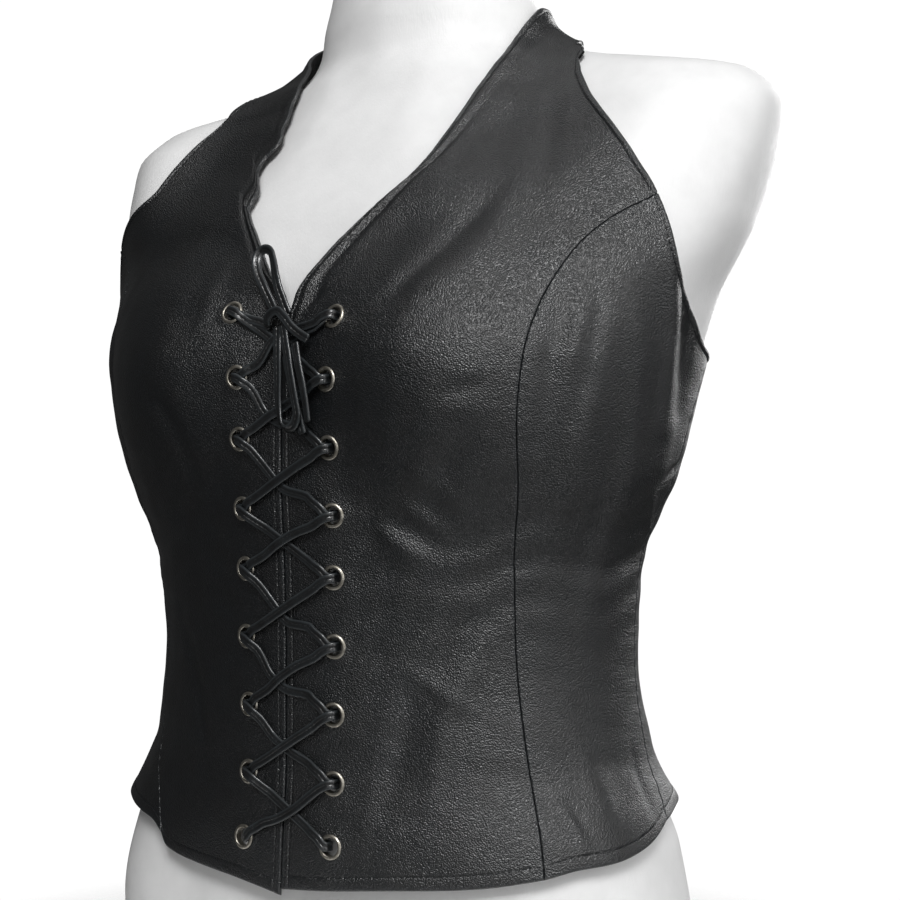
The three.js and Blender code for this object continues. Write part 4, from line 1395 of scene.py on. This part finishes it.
# An eyelet's section, spun round its hole: a rounded flange in front, a barrel through the leather
# and a small rolled flange behind.
# radius, height over the leather
EYELET_SECTION = (
    (4.85, -2.7), (4.85, 0.5), (4.92, 0.95), (5.12, 1.27), (5.45, 1.43), (5.9, 1.45), (6.35, 1.32),
    (6.72, 1.06), (6.93, 0.8), (7.0, 0.58), (6.6, 0.5), (5.4, 0.45), (5.25, 0.2), (5.25, -2.3),
    (6.0, -2.4), (6.3, -2.6), (6.1, -2.88), (5.2, -2.9),
)
EYELET_STEPS = 40


class VEST_OT_eyelets(bpy.types.Operator):
    """Presses the 18 eyelets into the laced edges"""

    bl_idname = "vest.eyelets"
    bl_label = "Eyelets"

    def execute(self, context):
        deselect()
        bpy.ops.mesh.primitive_circle_add(vertices=len(EYELET_SECTION), radius=1)
        pattern = context.object
        order = np.argsort(np.arctan2(*places_of(pattern.data)[:, 1::-1].T))
        section = np.zeros((len(EYELET_SECTION), 3))
        section[order, 0] = [radius for radius, _ in EYELET_SECTION]
        section[order, 2] = [height for _, height in EYELET_SECTION]
        move_to(pattern.data, section)
        bpy.ops.object.mode_set(mode="EDIT")
        bpy.ops.mesh.select_all(action="SELECT")
        bpy.ops.mesh.spin(
            steps=EYELET_STEPS, angle=2 * math.pi, center=(0, 0, 0), axis=(0, 0, 1), use_auto_merge=False
        )
        bpy.ops.object.mode_set(mode="OBJECT")
        closed_outward(pattern, 1e-6)
        for side, first in (("left", 0), ("right", 2)):
            for number, row in enumerate(EYELETS, 1):
                centre, out = over(row[first], row[first + 1], 0)
                turn = Vector((0, 0, 1)).rotation_difference(Vector(out)).to_matrix().to_4x4()
                ring = bpy.data.objects.new(f"ring_{side}_{number}", pattern.data.copy())
                context.collection.objects.link(ring)
                ring.data.transform(Matrix.Translation(Vector(centre) * MM) @ turn)
                finished(ring, material_for("eyelet"), f"eyelet_{side}_{number}", 60)
        bpy.data.objects.remove(pattern)
        return {"FINISHED"}


class VEST_OT_fronts(bpy.types.Operator):
    """Cuts the two laced fronts with their halter straps, and sews their edges"""

    bl_idname = "vest.fronts"
    bl_label = "Fronts and Straps"

    def execute(self, context):
        for side, first, area in (("left", 0, 0.0725), ("right", 2, 0.0735)):
            eyelets = [row[first : first + 2] for row in EYELETS]
            piece, grid = leather_sheet(
                f"leather_front_{side}", front_patch(side == "right"), front_relief, eyelets, False
            )
            finished(piece, material_for("leather"), f"front_{side}")
            split = self.strap_row(grid)
            sewn = stitches(
                f"front_{side}_stitches",
                [
                    stitch_path(grid, 0, FRONT_STITCH, 6, split),
                    stitch_path(grid, 0, NECK_STITCH, split + 3, None),
                    stitch_path(grid, 1, ARMHOLE_STITCH, split + 3, None),
                    stitch_path(grid, 2, HEM_STITCH, 3, -2),
                ],
                material_for("thread"),
            )
        return {"FINISHED"}

    def strap_row(self, grid):
        """The first grid row of the strap, where the neck leaves the laced edge."""
        turn = grid[0][:, 0]
        away = np.abs(turn - 90) > 0.6
        return int(np.argmax(away))


class VEST_OT_sides(bpy.types.Operator):
    """Cuts the two side pieces and sews their edges"""

    bl_idname = "vest.sides"
    bl_label = "Sides"

    def execute(self, context):
        for side in ("left", "right"):
            piece, grid = leather_sheet(
                f"leather_side_{side}", side_patch(side == "right"), side_relief, (), True
            )
            finished(piece, material_for("leather"), f"side_{side}")
            sewn = stitches(
                f"side_{side}_stitches",
                [
                    stitch_path(grid, 2, HEM_STITCH, 2, -2),
                    stitch_path(grid, 3, ARMHOLE_STITCH, 2, -2),
                ],
                material_for("thread"),
            )
        return {"FINISHED"}


class VEST_OT_back(bpy.types.Operator):
    """Cuts the back and sews its edges"""

    bl_idname = "vest.back"
    bl_label = "Back"

    def execute(self, context):
        piece, grid = leather_sheet("leather_back", back_patch(), back_relief, (), True)
        finished(piece, material_for("leather"), "back")
        sewn = stitches(
            "back_stitches",
            [stitch_path(grid, 2, HEM_STITCH, 2, -2), stitch_path(grid, 3, ARMHOLE_STITCH, 2, -2)],
            material_for("thread"),
        )
        return {"FINISHED"}


class VEST_PT_sidebar(bpy.types.Panel):
    """Lists the vest's pieces and their settings"""

    bl_label = "Laced Leather Vest"
    bl_idname = "VEST_PT_sidebar"
    bl_space_type = "VIEW_3D"
    bl_region_type = "UI"
    bl_category = "Vest"

    def draw(self, context):
        for title, group in GROUPS.items():
            box = self.layout.box()
            box.label(text=title)
            settings = getattr(context.scene, group)
            for name in settings.bl_rna.properties.keys():
                if name not in {"rna_type", "name"}:
                    box.prop(settings, name)
        for operator in OPERATORS:
            self.layout.operator(operator.bl_idname)


GROUPS = {
    "Leather": "vest_leather",
    "Lace": "vest_lace",
    "Eyelets": "vest_eyelet",
    "Dress form": "vest_form",
    "Stage": "vest_stage",
}
SETTINGS = (LeatherSettings, LaceSettings, EyeletSettings, FormSettings, StageSettings)
OPERATORS = (
    VEST_OT_stage, VEST_OT_bow, VEST_OT_laces, VEST_OT_form, VEST_OT_fronts, VEST_OT_sides, VEST_OT_back,
    VEST_OT_eyelets,
)


def register():
    """Registers the settings, operators and panel."""
    for made in (*SETTINGS, *OPERATORS, VEST_PT_sidebar):
        bpy.utils.register_class(made)
    for group, settings in zip(GROUPS.values(), SETTINGS):
        setattr(bpy.types.Scene, group, bpy.props.PointerProperty(type=settings))


def unregister():
    """Removes what register added."""
    for group in GROUPS.values():
        delattr(bpy.types.Scene, group)
    for made in (VEST_PT_sidebar, *reversed(OPERATORS), *reversed(SETTINGS)):
        bpy.utils.unregister_class(made)


def main():
    """Builds the scene."""
    register()
    bpy.ops.vest.stage()
    bpy.ops.vest.bow()
    bpy.ops.vest.laces()
    bpy.ops.vest.form()
    bpy.ops.vest.fronts()
    bpy.ops.vest.sides()
    bpy.ops.vest.back()
    bpy.ops.vest.eyelets()


if __name__ == "__main__":
    main()
